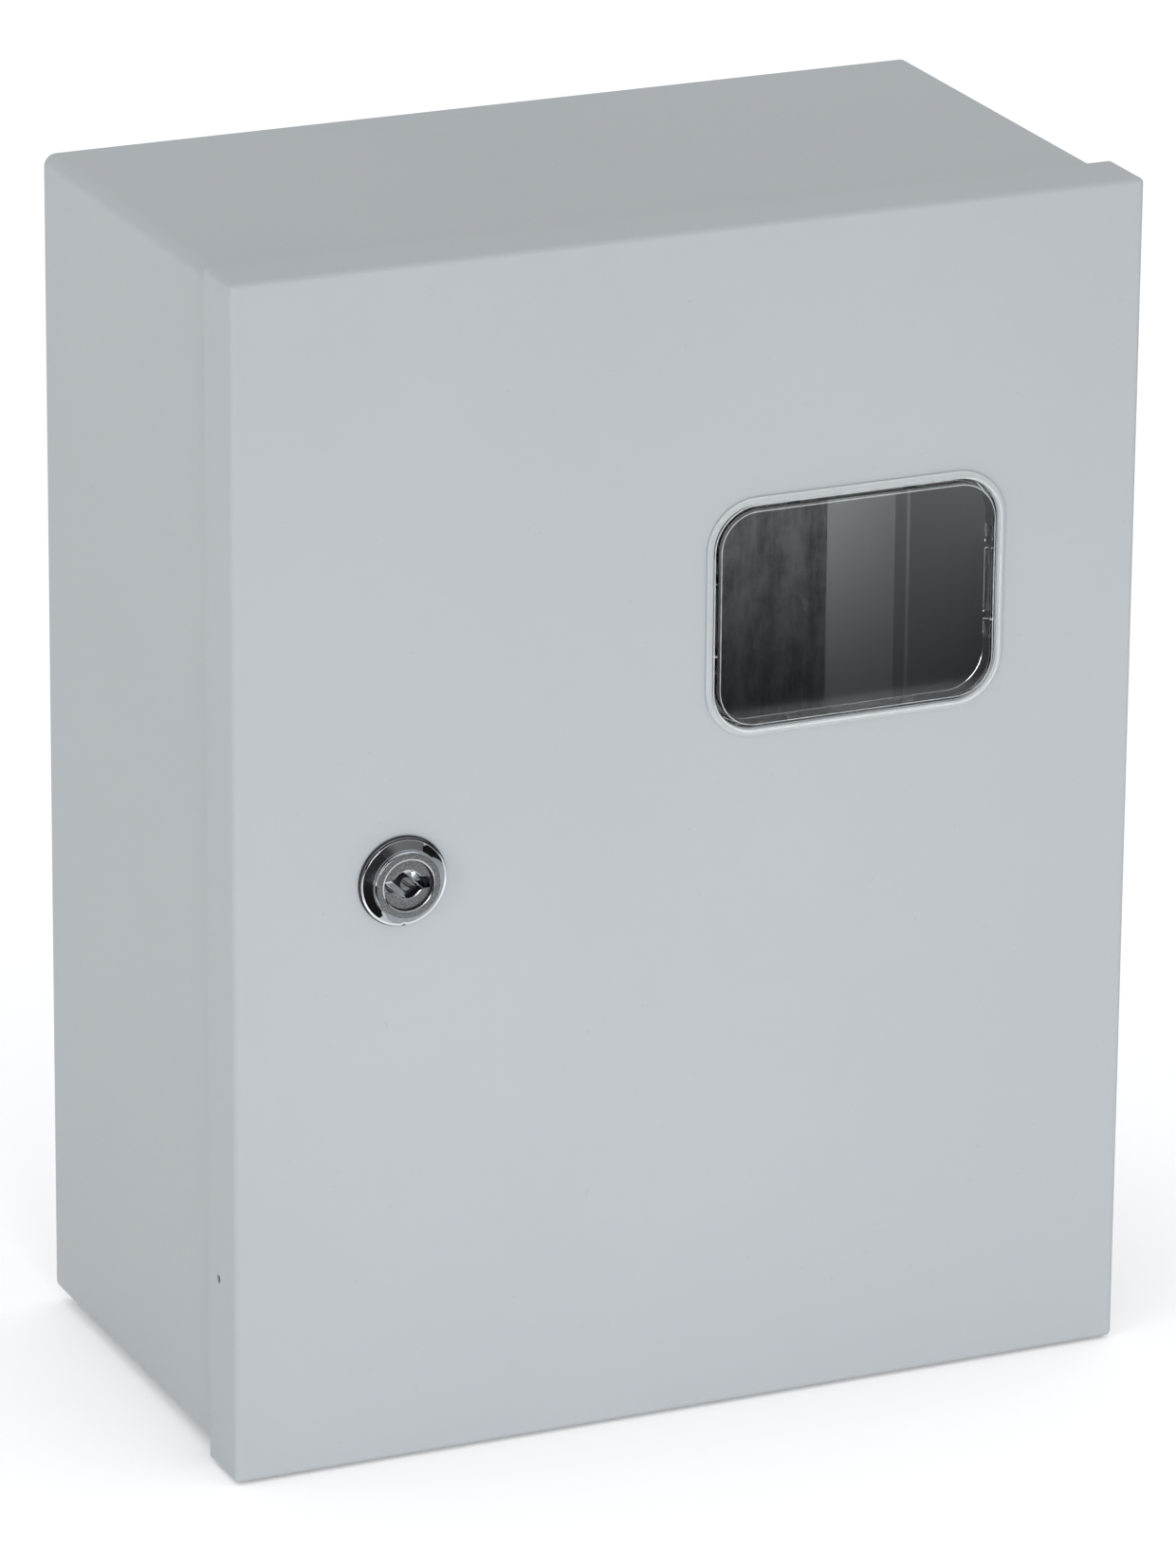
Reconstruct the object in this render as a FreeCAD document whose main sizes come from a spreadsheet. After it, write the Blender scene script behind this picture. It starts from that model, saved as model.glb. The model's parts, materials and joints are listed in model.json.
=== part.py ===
import FreeCAD, Part

import math
import os
import re

import Sketcher

# Wall-mounted sheet-steel switchboard cabinet with a hinged door, an inspection window and a
# quarter-turn lock.  Millimetres.  +Z is up, the door looks along -Y, the wall is the plane y = 0,
# and the origin is the centre of the four wall holes on the rear face.
# "Depth" always means the distance in front of the wall, so a depth of 165 lies at y = -165.

SIZES = {
    # door and body, folded from one thickness of steel sheet
    "door_width": 310.0,
    "door_height": 395.0,
    "overall_depth": 165.0,        # wall to the door's front face
    "sheet": 1.2,
    "flange_depth": 22.0,          # folded edge of the door, front to back
    "door_bend": 1.8,              # outside radius of the door's bends
    "door_overhang": 2.5,          # how far the door stands past the body all round
    "body_bend": 4.0,              # outside radius of the four bends that run front to back
    "return_gap": 3.0,             # from the door's rear edge to the return, for the swing
    "rim_inset": 15.0,             # width of the return, from the side wall to the rain rim
    "rim_corner": 3.0,
    "rim_foot_bend": 1.0,
    "fit_gap": 0.1,                # gap between sheet parts that are welded together
    "back_flange": 10.0,
    "wall_hole_radius": 3.5,
    "wall_hole_side": 27.5,        # from the body's side to the hole's centre
    "wall_hole_end": 30.0,         # from the body's top or bottom to the hole's centre
    "flange_hole_radius": 1.4,
    "flange_hole_setback": 14.0,   # behind the front face
    "flange_hole_rise": 65.0,      # above the door's lower edge
    # soft parts keep this far from what they seal against
    "soft_gap": 0.3,
    "gasket_width": 8.0,
    "gasket_thickness": 4.0,
    # snap-in inspection window
    "window_width": 104.0,
    "window_height": 79.4,
    "window_corner": 17.0,
    "window_side": 46.6,           # from the door's right edge to the window's
    "window_top": 88.5,            # from the door's upper edge to the window's
    "window_lip": 2.8,             # how far the window covers the door's sheet
    "window_seal": 0.6,
    "window_thickness": 1.6,
    "window_edge": 0.7,            # radius round the window's front edge
    "window_skirt": 6.0,
    "window_wall": 1.2,
    "window_play": 0.3,
    "clip_length": 20.0,
    "clip_reach": 1.6,
    "clip_depth": 3.0,
    "clip_gap": 0.3,               # from the clip to the back of the door's sheet
    "nub_length": 4.0,
    "nub_side_pitch": 33.5,
    "nub_end_pitch": 40.2,
    # quarter-turn lock
    "lock_inset": 56.5,            # from the door's left edge to the lock's axis
    "lock_drop": 1.9,              # below the middle of the door
    "lock_seal": 0.8,
    "bezel_radius": 14.5,
    "bezel_edge": 0.8,
    "bezel_rim": 0.6,              # flat ring outside the cone
    "cone_height": 2.2,
    "bezel_height": 4.8,
    "lock_face_radius": 10.75,
    "barrel_radius": 11.0,
    "barrel_flat": 10.0,           # from the axis to the flat of the barrel
    "barrel_play": 0.2,
    "rotor_radius": 8.25,
    "rotor_recess": 1.2,
    "rotor_head": 10.0,
    "rotor_shaft": 6.2,
    "running_gap": 0.05,
    "key_hole_radius": 4.8,
    "key_pin_radius": 2.3,
    "key_wing_reach": 7.7,
    "key_wing_half": 1.9,
    "key_depth": 7.5,
    "lock_nut_flat": 13.5,         # half of the width across flats
    "lock_nut_height": 5.0,
    "cam_square": 7.0,
    "cam_thickness": 2.5,
    "cam_return_gap": 0.6,         # between the turned cam and the back of the return
    "cam_wall_gap": 4.3,           # between the turned cam's end and the side wall
    "cam_hub_radius": 10.5,
    "cam_arm_width": 14.0,
    "barrel_end_gap": 2.5,         # between the barrel's rear end and the cam
    # hinges
    "pivot_inset": 6.2,            # from the door's outer side to the pin
    "pivot_setback": 13.5,         # from the door's front face to the pin
    "hinge_from_end": 67.5,        # from the door's upper or lower edge to the hinge's middle
    "hinge_length": 40.0,
    "hinge_middle": 19.0,          # length of the bracket's knuckle
    "knuckle_gap": 0.5,
    "knuckle_radius": 3.4,
    "pin_radius": 2.0,
    "pin_fit": 0.02,
    "leaf": 1.2,
    "leaf_front": 10.5,
    "leaf_back": 5.5,
    "arm": 2.0,
    "arm_offset": 0.6,
    "arm_foot": 7.0,
    "arm_foot_length": 32.0,
    "pin_head_radius": 3.0,
    "pin_head_height": 1.5,
    # mounting plate on four studs
    "plate_side": 37.5,            # from the body's side to the plate
    "plate_end": 30.0,             # from the body's top or bottom to the plate
    "plate_standoff": 20.0,
    "plate_thickness": 1.5,
    "plate_corner": 3.0,
    "stud_inset": 10.0,
    "stud_radius": 3.0,
    "stud_length": 31.0,
    "thread_play": 0.05,
    "hole_play": 0.3,
    "spacer_radius": 5.5,
    "washer_radius": 6.0,
    "washer_thickness": 1.6,
    "nut_flat": 5.0,
    "nut_height": 5.0,
    # top-hat mounting rail
    "rail_rise": 95.0,             # above the plate's lower edge
    "rail_end": 10.0,
    "rail_height": 35.0,
    "rail_hat": 27.0,
    "rail_depth": 7.5,
    "rail_sheet": 1.0,
    "rail_slot_length": 15.0,
    "rail_slot_height": 6.2,
    "rail_slot_pitch": 25.0,
    "rail_screw_radius": 2.5,
    "rail_screw_head": 4.75,
    "rail_screw_height": 3.0,
    "rail_screw_length": 12.0,
    # terminal bars
    "bar_rise": 45.0,              # above the plate's lower edge
    "bar_gap": 14.0,
    "bar_end": 6.0,
    "bar_height": 9.0,
    "bar_thickness": 6.0,
    "bar_post": 12.0,
    "bar_post_radius": 4.3,
    "bar_bolt_radius": 2.0,
    "bar_bolt_inset": 5.0,
    "bar_pitch": 8.0,
    "bar_wire_radius": 2.3,
    "terminal_radius": 1.9,
    "terminal_head": 2.9,
    "terminal_height": 2.4,
    "terminal_slot": 0.8,
    "insulator_width": 12.0,
    "insulator_height": 18.0,
    "insulator_depth": 20.0,
    "insulator_foot": 36.0,
    "insulator_foot_depth": 4.0,
    "foot_screw_radius": 1.9,
    "foot_screw_head": 3.5,
    "foot_screw_height": 2.2,
    "foot_screw_inset": 4.5,
    # earthing studs
    "earth_radius": 3.0,
    "earth_length": 14.0,
    "earth_rise": 35.0,            # above the body's lower side
    "earth_depth": 60.0,
    "door_earth_side": 45.0,       # from the door's right edge
    "door_earth_rise": 40.0,       # above the door's lower edge
    # cable entries through the bottom
    "entry_radius": 14.0,
    "entry_pitch": 70.0,
    "entry_depth": 70.0,
    "grommet_lip": 4.0,
    "grommet_outer": 2.6,
    "grommet_inner": 2.2,
    "grommet_core": 3.0,
    "grommet_membrane": 1.2,
}

# Lengths and places that follow from the sizes above.
DERIVED = {
    "body_width": "door_width - 2 * door_overhang",
    "body_height": "door_height - 2 * door_overhang",
    "door_back": "overall_depth - flange_depth",
    "door_inside": "overall_depth - sheet",
    "return_front": "door_back - return_gap",
    "return_back": "return_front - sheet",
    "rim_width": "body_width - 2 * rim_inset",
    "rim_height": "body_height - 2 * rim_inset",
    "rim_front": "door_inside - gasket_thickness - soft_gap",
    "inner_bend": "body_bend - sheet",
    "wall_hole_x": "body_width / 2 - wall_hole_side",
    "wall_hole_z": "body_height / 2 - wall_hole_end",
    "window_x": "door_width / 2 - window_side - window_width / 2",
    "window_z": "door_height / 2 - window_top - window_height / 2",
    "cutout_width": "window_width - 2 * window_lip",
    "cutout_height": "window_height - 2 * window_lip",
    "cutout_corner": "window_corner - window_lip",
    "skirt_width": "cutout_width - 2 * window_play",
    "skirt_height": "cutout_height - 2 * window_play",
    "skirt_corner": "cutout_corner - window_play",
    "window_back": "overall_depth + window_seal",
    "lock_x": "lock_inset - door_width / 2",
    "lock_z": "0 - lock_drop",
    "bezel_back": "overall_depth + lock_seal",
    "lock_front": "bezel_back + bezel_height",
    "rotor_front": "lock_front - rotor_recess",
    "rotor_shoulder": "rotor_front - rotor_head",
    "cam_front": "return_back - cam_return_gap",
    "cam_back": "cam_front - cam_thickness",
    "barrel_end": "cam_front + barrel_end_gap",
    "cam_length": "lock_inset - door_overhang - sheet - cam_wall_gap",
    "pivot_x": "door_width / 2 - pivot_inset",
    "pivot_depth": "overall_depth - pivot_setback",
    "hinge_z": "door_height / 2 - hinge_from_end",
    "flange_inside": "pivot_inset - sheet",
    "rim_reach": "pivot_x - rim_width / 2",
    "plate_width": "body_width - 2 * plate_side",
    "plate_height": "body_height - 2 * plate_end",
    "plate_front": "plate_standoff + plate_thickness",
    "stud_x": "plate_width / 2 - stud_inset",
    "stud_z": "plate_height / 2 - stud_inset",
    "rail_z": "rail_rise - plate_height / 2",
    "rail_length": "plate_width - 2 * rail_end",
    "bar_z": "bar_rise - plate_height / 2",
    "bar_length": "plate_width / 2 - bar_gap / 2 - bar_end",
    "bar_x": "bar_gap / 2 + bar_length / 2",
    "ground_back": "plate_front + bar_post",
    "neutral_back": "plate_front + insulator_depth",
    "bar_bolt_x": "bar_length / 2 - bar_bolt_inset",
    "foot_screw_z": "insulator_foot / 2 - foot_screw_inset",
    "body_floor": "0 - body_height / 2",
    "earth_z": "earth_rise - body_height / 2",
    "door_earth_x": "door_width / 2 - door_earth_side",
    "door_earth_z": "door_earth_rise - door_height / 2",
}

TOWARDS_FRONT = FreeCAD.Rotation(FreeCAD.Vector(1, 0, 0), 90)
TOWARDS_BACK = FreeCAD.Rotation(FreeCAD.Vector(1, 0, 0), -90)
TOWARDS_RIGHT = FreeCAD.Rotation(FreeCAD.Vector(0, 1, 0), 90)
UPWARDS = FreeCAD.Rotation()

doc = FreeCAD.newDocument("switchboard_cabinet")
sheet = doc.addObject("Spreadsheet::Sheet", "Sizes")
for row, (alias, size) in enumerate(SIZES.items(), start=1):
    sheet.set(f"A{row}", alias)
    sheet.set(f"B{row}", str(size))
    sheet.setAlias(f"B{row}", alias)
doc.recompute()

nodes = []


# ---------------------------------------------------------------- expressions and sketches

def bound(text):
    """Spells out a derived length and puts the sheet's name before each alias."""
    def spelled(match):
        name = match.group(0)
        if name in DERIVED:
            return "(" + bound(DERIVED[name]) + ")"
        return "Sizes." + name if name in SIZES else name
    return re.sub(r"[a-z][a-z_0-9]+", spelled, str(text))


def number(text):
    """Value of an expression on the sheet."""
    return float(sheet.evalExpression(bound(text)))


def bind(thing, prop, text):
    """Ties one property to an expression on the sheet."""
    thing.setExpression(prop, bound(text))


def place(thing, x, depth, z, rotation=UPWARDS):
    """Turns a thing and puts its origin at x, at a depth in front of the wall, and at z."""
    thing.Placement = FreeCAD.Placement(FreeCAD.Vector(), rotation)
    bind(thing, "Placement.Base.x", x)
    bind(thing, "Placement.Base.y", f"0 - ({depth})")
    bind(thing, "Placement.Base.z", z)


def keep(thing, label):
    """Names a finished sub-part; its label is its file's name."""
    thing.Label = label
    nodes.append(thing)
    return thing


def new_body(label, x="0", depth="0", z="0"):
    body = doc.addObject("PartDesign::Body", label)
    place(body, x, depth, z)
    return keep(body, label)


def sketch_on(body, role, offset="0"):
    """Empty sketch on one of the body's origin planes, moved along the plane's normal.
    On XZ_Plane the normal points to the front, so the offset is a depth."""
    plane = next(f for f in body.Origin.OriginFeatures if f.Role == role)
    sketch = body.newObject("Sketcher::SketchObject", "outline")
    sketch.AttachmentSupport = [(plane, "")]
    sketch.MapMode = "FlatFace"
    bind(sketch, "AttachmentOffset.Base.z", offset)
    return sketch


def dimension(sketch, kind, geometry, point, text):
    """Ties a point's distance from the sketch's origin, or a radius, to an expression."""
    if kind == "Radius":
        rule = Sketcher.Constraint("Radius", geometry, number(text))
    elif text == "0":
        axis = -2 if kind == "DistanceX" else -1
        sketch.addConstraint(Sketcher.Constraint("PointOnObject", geometry, point, axis))
        return
    else:
        rule = Sketcher.Constraint(kind, -1, 1, geometry, point, number(text))
    index = sketch.addConstraint(rule)
    name = f"size_{index}"
    sketch.renameConstraint(index, name)
    bind(sketch, "Constraints." + name, text)


def polygon(sketch, corners):
    """Closed outline of straight edges through corners, each a pair of expressions."""
    spots = [FreeCAD.Vector(number(across), number(up), 0) for across, up in corners]
    first = sketch.GeometryCount
    count = len(spots)
    for step in range(count):
        sketch.addGeometry(Part.LineSegment(spots[step], spots[(step + 1) % count]))
    for step in range(count):
        after = first + (step + 1) % count
        sketch.addConstraint(Sketcher.Constraint("Coincident", first + step, 2, after, 1))
    for step, (across, up) in enumerate(corners):
        dimension(sketch, "DistanceX", first + step, 1, across)
        dimension(sketch, "DistanceY", first + step, 1, up)


def rectangle(sketch, left, right, low, high):
    polygon(sketch, [(left, low), (right, low), (right, high), (left, high)])


def circle(sketch, radius, across="0", up="0"):
    centre = FreeCAD.Vector(number(across), number(up), 0)
    index = sketch.addGeometry(Part.Circle(centre, FreeCAD.Vector(0, 0, 1), number(radius)))
    dimension(sketch, "Radius", index, 0, radius)
    dimension(sketch, "DistanceX", index, 3, across)
    dimension(sketch, "DistanceY", index, 3, up)


def rounded_rectangle(sketch, width, height, corner, across="0", up="0"):
    """Rectangle with four equal round corners about a centre."""
    radius = number(corner)
    x0 = number(f"{across} - ({width}) / 2")
    x1 = number(f"{across} + ({width}) / 2")
    z0 = number(f"{up} - ({height}) / 2")
    z1 = number(f"{up} + ({height}) / 2")
    ends = [
        ((x0 + radius, z0), (x1 - radius, z0)),
        ((x1, z0 + radius), (x1, z1 - radius)),
        ((x1 - radius, z1), (x0 + radius, z1)),
        ((x0, z1 - radius), (x0, z0 + radius)),
    ]
    centres = [(x1 - radius, z0 + radius), (x1 - radius, z1 - radius)]
    centres += [(x0 + radius, z1 - radius), (x0 + radius, z0 + radius)]
    first = sketch.GeometryCount
    for start, end in ends:
        sketch.addGeometry(Part.LineSegment(FreeCAD.Vector(*start, 0), FreeCAD.Vector(*end, 0)))
    for quarter, middle in enumerate(centres):
        ring = Part.Circle(FreeCAD.Vector(*middle, 0), FreeCAD.Vector(0, 0, 1), radius)
        turn = (quarter - 1) * math.pi / 2
        sketch.addGeometry(Part.ArcOfCircle(ring, turn, turn + math.pi / 2))
    for side in range(4):
        line = first + side
        arc = first + 4 + side
        after = first + (side + 1) % 4
        sketch.addConstraint(Sketcher.Constraint("Tangent", line, 2, arc, 1))
        sketch.addConstraint(Sketcher.Constraint("Tangent", arc, 2, after, 1))
        level = "Horizontal" if side % 2 == 0 else "Vertical"
        sketch.addConstraint(Sketcher.Constraint(level, line))
    for side in range(1, 4):
        sketch.addConstraint(Sketcher.Constraint("Equal", first + 4, first + 4 + side))
    dimension(sketch, "Radius", first + 4, 0, corner)
    dimension(sketch, "DistanceY", first, 1, f"{up} - ({height}) / 2")
    dimension(sketch, "DistanceX", first + 1, 1, f"{across} + ({width}) / 2")
    dimension(sketch, "DistanceY", first + 2, 1, f"{up} + ({height}) / 2")
    dimension(sketch, "DistanceX", first + 3, 1, f"{across} - ({width}) / 2")


def flatted_circle(sketch, radius, flat):
    """Circle about the sketch's origin with a flat above and one below."""
    size = number(radius)
    height = number(flat)
    angle = math.asin(height / size)
    ring = Part.Circle(FreeCAD.Vector(), FreeCAD.Vector(0, 0, 1), size)
    reach = math.sqrt(size * size - height * height)
    first = sketch.GeometryCount
    sketch.addGeometry(Part.ArcOfCircle(ring, -angle, angle))
    sketch.addGeometry(Part.LineSegment(FreeCAD.Vector(reach, height, 0),
                                        FreeCAD.Vector(-reach, height, 0)))
    sketch.addGeometry(Part.ArcOfCircle(ring, math.pi - angle, math.pi + angle))
    sketch.addGeometry(Part.LineSegment(FreeCAD.Vector(-reach, -height, 0),
                                        FreeCAD.Vector(reach, -height, 0)))
    for side in range(4):
        after = first + (side + 1) % 4
        sketch.addConstraint(Sketcher.Constraint("Coincident", first + side, 2, after, 1))
    sketch.addConstraint(Sketcher.Constraint("Horizontal", first + 1))
    sketch.addConstraint(Sketcher.Constraint("Horizontal", first + 3))
    sketch.addConstraint(Sketcher.Constraint("Coincident", first, 3, -1, 1))
    sketch.addConstraint(Sketcher.Constraint("Coincident", first + 2, 3, -1, 1))
    dimension(sketch, "Radius", first, 0, radius)
    dimension(sketch, "DistanceY", first + 1, 1, flat)
    dimension(sketch, "DistanceY", first + 3, 1, f"0 - ({flat})")


# ---------------------------------------------------------------- features of a body

def pad(body, sketch, length):
    feature = body.newObject("PartDesign::Pad", "pad")
    feature.Profile = sketch
    bind(feature, "Length", length)
    sketch.Visibility = False
    doc.recompute()
    return feature


def pocket(body, sketch, length, forwards=False):
    """Cuts against the sketch's normal, or along it, and makes sure that something goes."""
    before = body.Shape.Volume
    feature = body.newObject("PartDesign::Pocket", "pocket")
    feature.Profile = sketch
    feature.Reversed = forwards
    bind(feature, "Length", length)
    sketch.Visibility = False
    doc.recompute()
    if body.Shape.Volume > before - 1e-3:
        raise RuntimeError(f"{body.Label}: {feature.Name} cuts nothing")
    return feature


def revolve(body, sketch):
    """Turns a profile about the sketch's upright axis."""
    feature = body.newObject("PartDesign::Revolution", "revolution")
    feature.Profile = sketch
    feature.ReferenceAxis = (sketch, ["V_Axis"])
    feature.Angle = 360
    sketch.Visibility = False
    doc.recompute()
    return feature


def round_edges(body, radius, wanted):
    """Rounds the edges that the test picks by their own bounding box."""
    base = body.Tip
    names = [f"Edge{index}" for index, edge in enumerate(base.Shape.Edges, start=1)
             if wanted(edge.BoundBox)]
    if not names:
        raise RuntimeError(f"{body.Label}: no edge to round")
    feature = body.newObject("PartDesign::Fillet", "fillet")
    feature.Base = (base, names)
    bind(feature, "Radius", radius)
    doc.recompute()
    return feature


def near(first, second):
    return abs(first - second) < 0.01


# ---------------------------------------------------------------- plain round and hexagonal bits

def cylinder(radius, length, x, depth, z, rotation=TOWARDS_FRONT):
    thing = doc.addObject("Part::Cylinder", "cylinder")
    bind(thing, "Radius", radius)
    bind(thing, "Height", length)
    place(thing, x, depth, z, rotation)
    return thing


def hexagon(flat, length, x, depth, z, rotation=TOWARDS_FRONT):
    """Six-sided prism; flat is the distance from the axis to a flat."""
    thing = doc.addObject("Part::Prism", "prism")
    thing.Polygon = 6
    bind(thing, "Circumradius", f"({flat}) / cos(30)")
    bind(thing, "Height", length)
    place(thing, x, depth, z, rotation)
    return thing


def cut(base, tool):
    thing = doc.addObject("Part::Cut", "cut")
    thing.Base = base
    thing.Tool = tool
    return thing


def fuse(first, second):
    thing = doc.addObject("Part::Fuse", "fuse")
    thing.Base = first
    thing.Tool = second
    return thing


def group(label, things):
    """Identical pieces that share one node, each a solid of its own."""
    thing = doc.addObject("Part::Compound", label)
    thing.Links = things
    return keep(thing, label)


def ring(outer, inner, length, x, depth, z, rotation=TOWARDS_FRONT):
    body = cylinder(outer, length, x, depth, z, rotation)
    return cut(body, cylinder(inner, length, x, depth, z, rotation))


def hex_nut(flat, inner, length, x, depth, z, rotation=TOWARDS_FRONT):
    body = hexagon(flat, length, x, depth, z, rotation)
    return cut(body, cylinder(inner, length, x, depth, z, rotation))


def slotted_screw(head, head_height, shank, length, x, depth, z):
    """Round-headed screw with a driver slot; depth is the seat under its head."""
    top = cylinder(head, head_height, x, depth, z)
    stem = cylinder(shank, length, x, depth, z, TOWARDS_BACK)
    slot = doc.addObject("Part::Box", "slot")
    bind(slot, "Length", f"2 * ({head}) + 2")
    bind(slot, "Width", f"({head_height}) / 2")
    bind(slot, "Height", "terminal_slot")
    place(slot, f"({x}) - ({head}) - 1", f"({depth}) + ({head_height})",
          f"({z}) - terminal_slot / 2")
    return fuse(cut(top, slot), stem)


def signed(text):
    """The same distance to the left and to the right."""
    return [f"0 - ({text})", text]


STUDS = [(x, z) for z in signed("stud_z") for x in signed("stud_x")]


# ---------------------------------------------------------------- enclosure

def make_body_shell():
    """Four walls folded from one strip, with the cable entries through the bottom."""
    body = new_body("body_shell")
    walls = sketch_on(body, "XZ_Plane")
    rounded_rectangle(walls, "body_width", "body_height", "body_bend")
    rounded_rectangle(walls, "body_width - 2 * sheet", "body_height - 2 * sheet", "inner_bend")
    pad(body, walls, "return_front")
    entries = sketch_on(body, "XY_Plane", "body_floor")
    for place_x in ("0 - entry_pitch", "0", "entry_pitch"):
        circle(entries, "entry_radius", place_x, "0 - entry_depth")
    pocket(body, entries, "sheet + 1", forwards=True)


def make_rim_frame():
    """Angle frame welded inside the front of the walls: the return and the rain rim on it."""
    body = new_body("rim_frame")
    lip = sketch_on(body, "XZ_Plane", "return_back")
    rounded_rectangle(lip, "body_width - 2 * sheet - 2 * fit_gap",
                      "body_height - 2 * sheet - 2 * fit_gap", "inner_bend - fit_gap")
    rounded_rectangle(lip, "rim_width - 2 * sheet", "rim_height - 2 * sheet",
                      "rim_corner - sheet")
    pad(body, lip, "sheet")
    rim = sketch_on(body, "XZ_Plane", "return_back")
    rounded_rectangle(rim, "rim_width", "rim_height", "rim_corner")
    rounded_rectangle(rim, "rim_width - 2 * sheet", "rim_height - 2 * sheet",
                      "rim_corner - sheet")
    pad(body, rim, "rim_front - return_back")
    front = number("0 - return_front")
    rim_x = number("rim_width / 2")
    rim_z = number("rim_height / 2")

    def rim_foot(box):
        flat = near(box.YMin, front) and near(box.YMax, front)
        reach = max(box.XMax, -box.XMin)
        height = max(box.ZMax, -box.ZMin)
        inside = reach < rim_x + 0.01 and height < rim_z + 0.01
        return flat and inside and (near(reach, rim_x) or near(height, rim_z))
    round_edges(body, "rim_foot_bend", rim_foot)


def make_back_panel():
    """Shallow pan welded into the rear of the walls, with the four wall holes."""
    body = new_body("back_panel")
    width = "body_width - 2 * sheet - 2 * fit_gap"
    height = "body_height - 2 * sheet - 2 * fit_gap"
    pan = sketch_on(body, "XZ_Plane")
    rounded_rectangle(pan, width, height, "inner_bend - fit_gap")
    pad(body, pan, "sheet")
    edge = sketch_on(body, "XZ_Plane")
    rounded_rectangle(edge, width, height, "inner_bend - fit_gap")
    rounded_rectangle(edge, f"{width} - 2 * sheet", f"{height} - 2 * sheet",
                      "inner_bend - fit_gap - sheet")
    pad(body, edge, "back_flange")
    holes = sketch_on(body, "XZ_Plane")
    for across in signed("wall_hole_x"):
        for up in signed("wall_hole_z"):
            circle(holes, "wall_hole_radius", across, up)
    pocket(body, holes, "sheet + 1", forwards=True)


def make_mounting_plate():
    """Galvanised plate carried on four studs, with the tapped holes of what it carries."""
    body = new_body("mounting_plate")
    outline = sketch_on(body, "XZ_Plane", "plate_standoff")
    rounded_rectangle(outline, "plate_width", "plate_height", "plate_corner")
    pad(body, outline, "plate_thickness")
    holes = sketch_on(body, "XZ_Plane", "plate_standoff")
    for across, up in STUDS:
        circle(holes, "stud_radius + hole_play", across, up)
    for across in signed(RAIL_SCREW_X):
        circle(holes, "rail_screw_radius + thread_play", across, "rail_z")
    for across in signed("bar_bolt_x"):
        circle(holes, "bar_bolt_radius + thread_play", f"{across} - bar_x", "bar_z")
    for across, up in FOOT_SCREWS:
        circle(holes, "foot_screw_radius + thread_play", across, up)
    pocket(body, holes, "plate_thickness + 1", forwards=True)


def make_plate_fixings():
    """Welded studs, spacer tubes, washers and nuts of the mounting plate."""
    group("plate_studs", [cylinder("stud_radius", "stud_length - sheet", x, "sheet", z)
                          for x, z in STUDS])
    group("plate_spacers", [ring("spacer_radius", "stud_radius + hole_play",
                                 "plate_standoff - sheet", x, "sheet", z) for x, z in STUDS])
    group("plate_washers", [ring("washer_radius", "stud_radius + hole_play",
                                 "washer_thickness", x, "plate_front", z) for x, z in STUDS])
    group("plate_nuts", [hex_nut("nut_flat", "stud_radius + thread_play", "nut_height", x,
                                 "plate_front + washer_thickness", z) for x, z in STUDS])


# ---------------------------------------------------------------- rail and terminal bars

RAIL_SLOTS = 2 * int(number("(rail_length / 2 - rail_slot_length) / rail_slot_pitch")) + 1
RAIL_SCREW_X = f"rail_slot_pitch * {RAIL_SLOTS // 2}"
FOOT_SCREWS = [(f"bar_x + {across}", f"bar_z + {up}") for across in signed("bar_bolt_x")
               for up in signed("foot_screw_z")]
TERMINALS = int(number("2 * (bar_bolt_x - 2 * terminal_head - fit_gap) / bar_pitch")) + 1


def make_rail():
    """Slotted top-hat rail, screwed to the plate through its end slots."""
    body = new_body("din_rail", "0 - rail_length / 2", "plate_front", "rail_z")
    hat = "rail_hat / 2"
    brim = "rail_height / 2"
    top = "0 - rail_depth"
    under = "rail_sheet - rail_depth"
    section = sketch_on(body, "YZ_Plane")
    polygon(section, [
        ("0", f"0 - {hat}"), ("0", hat), (under, hat), (under, brim), (top, brim),
        (top, f"{hat} - rail_sheet"), ("0 - rail_sheet", f"{hat} - rail_sheet"),
        ("0 - rail_sheet", f"rail_sheet - {hat}"), (top, f"rail_sheet - {hat}"),
        (top, f"0 - {brim}"), (under, f"0 - {brim}"), (under, f"0 - {hat}"),
    ])
    pad(body, section, "rail_length")
    slots = sketch_on(body, "XZ_Plane")
    for step in range(RAIL_SLOTS):
        centre = f"rail_length / 2 + rail_slot_pitch * {step - RAIL_SLOTS // 2}"
        rounded_rectangle(slots, "rail_slot_length", "rail_slot_height",
                          "rail_slot_height / 2 - fit_gap", centre)
    pocket(body, slots, "rail_sheet + 1", forwards=True)
    group("rail_screws", [slotted_screw("rail_screw_head", "rail_screw_height",
                                        "rail_screw_radius", "rail_screw_length", x,
                                        "plate_front + rail_sheet", "rail_z")
                          for x in signed(RAIL_SCREW_X)])


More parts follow.
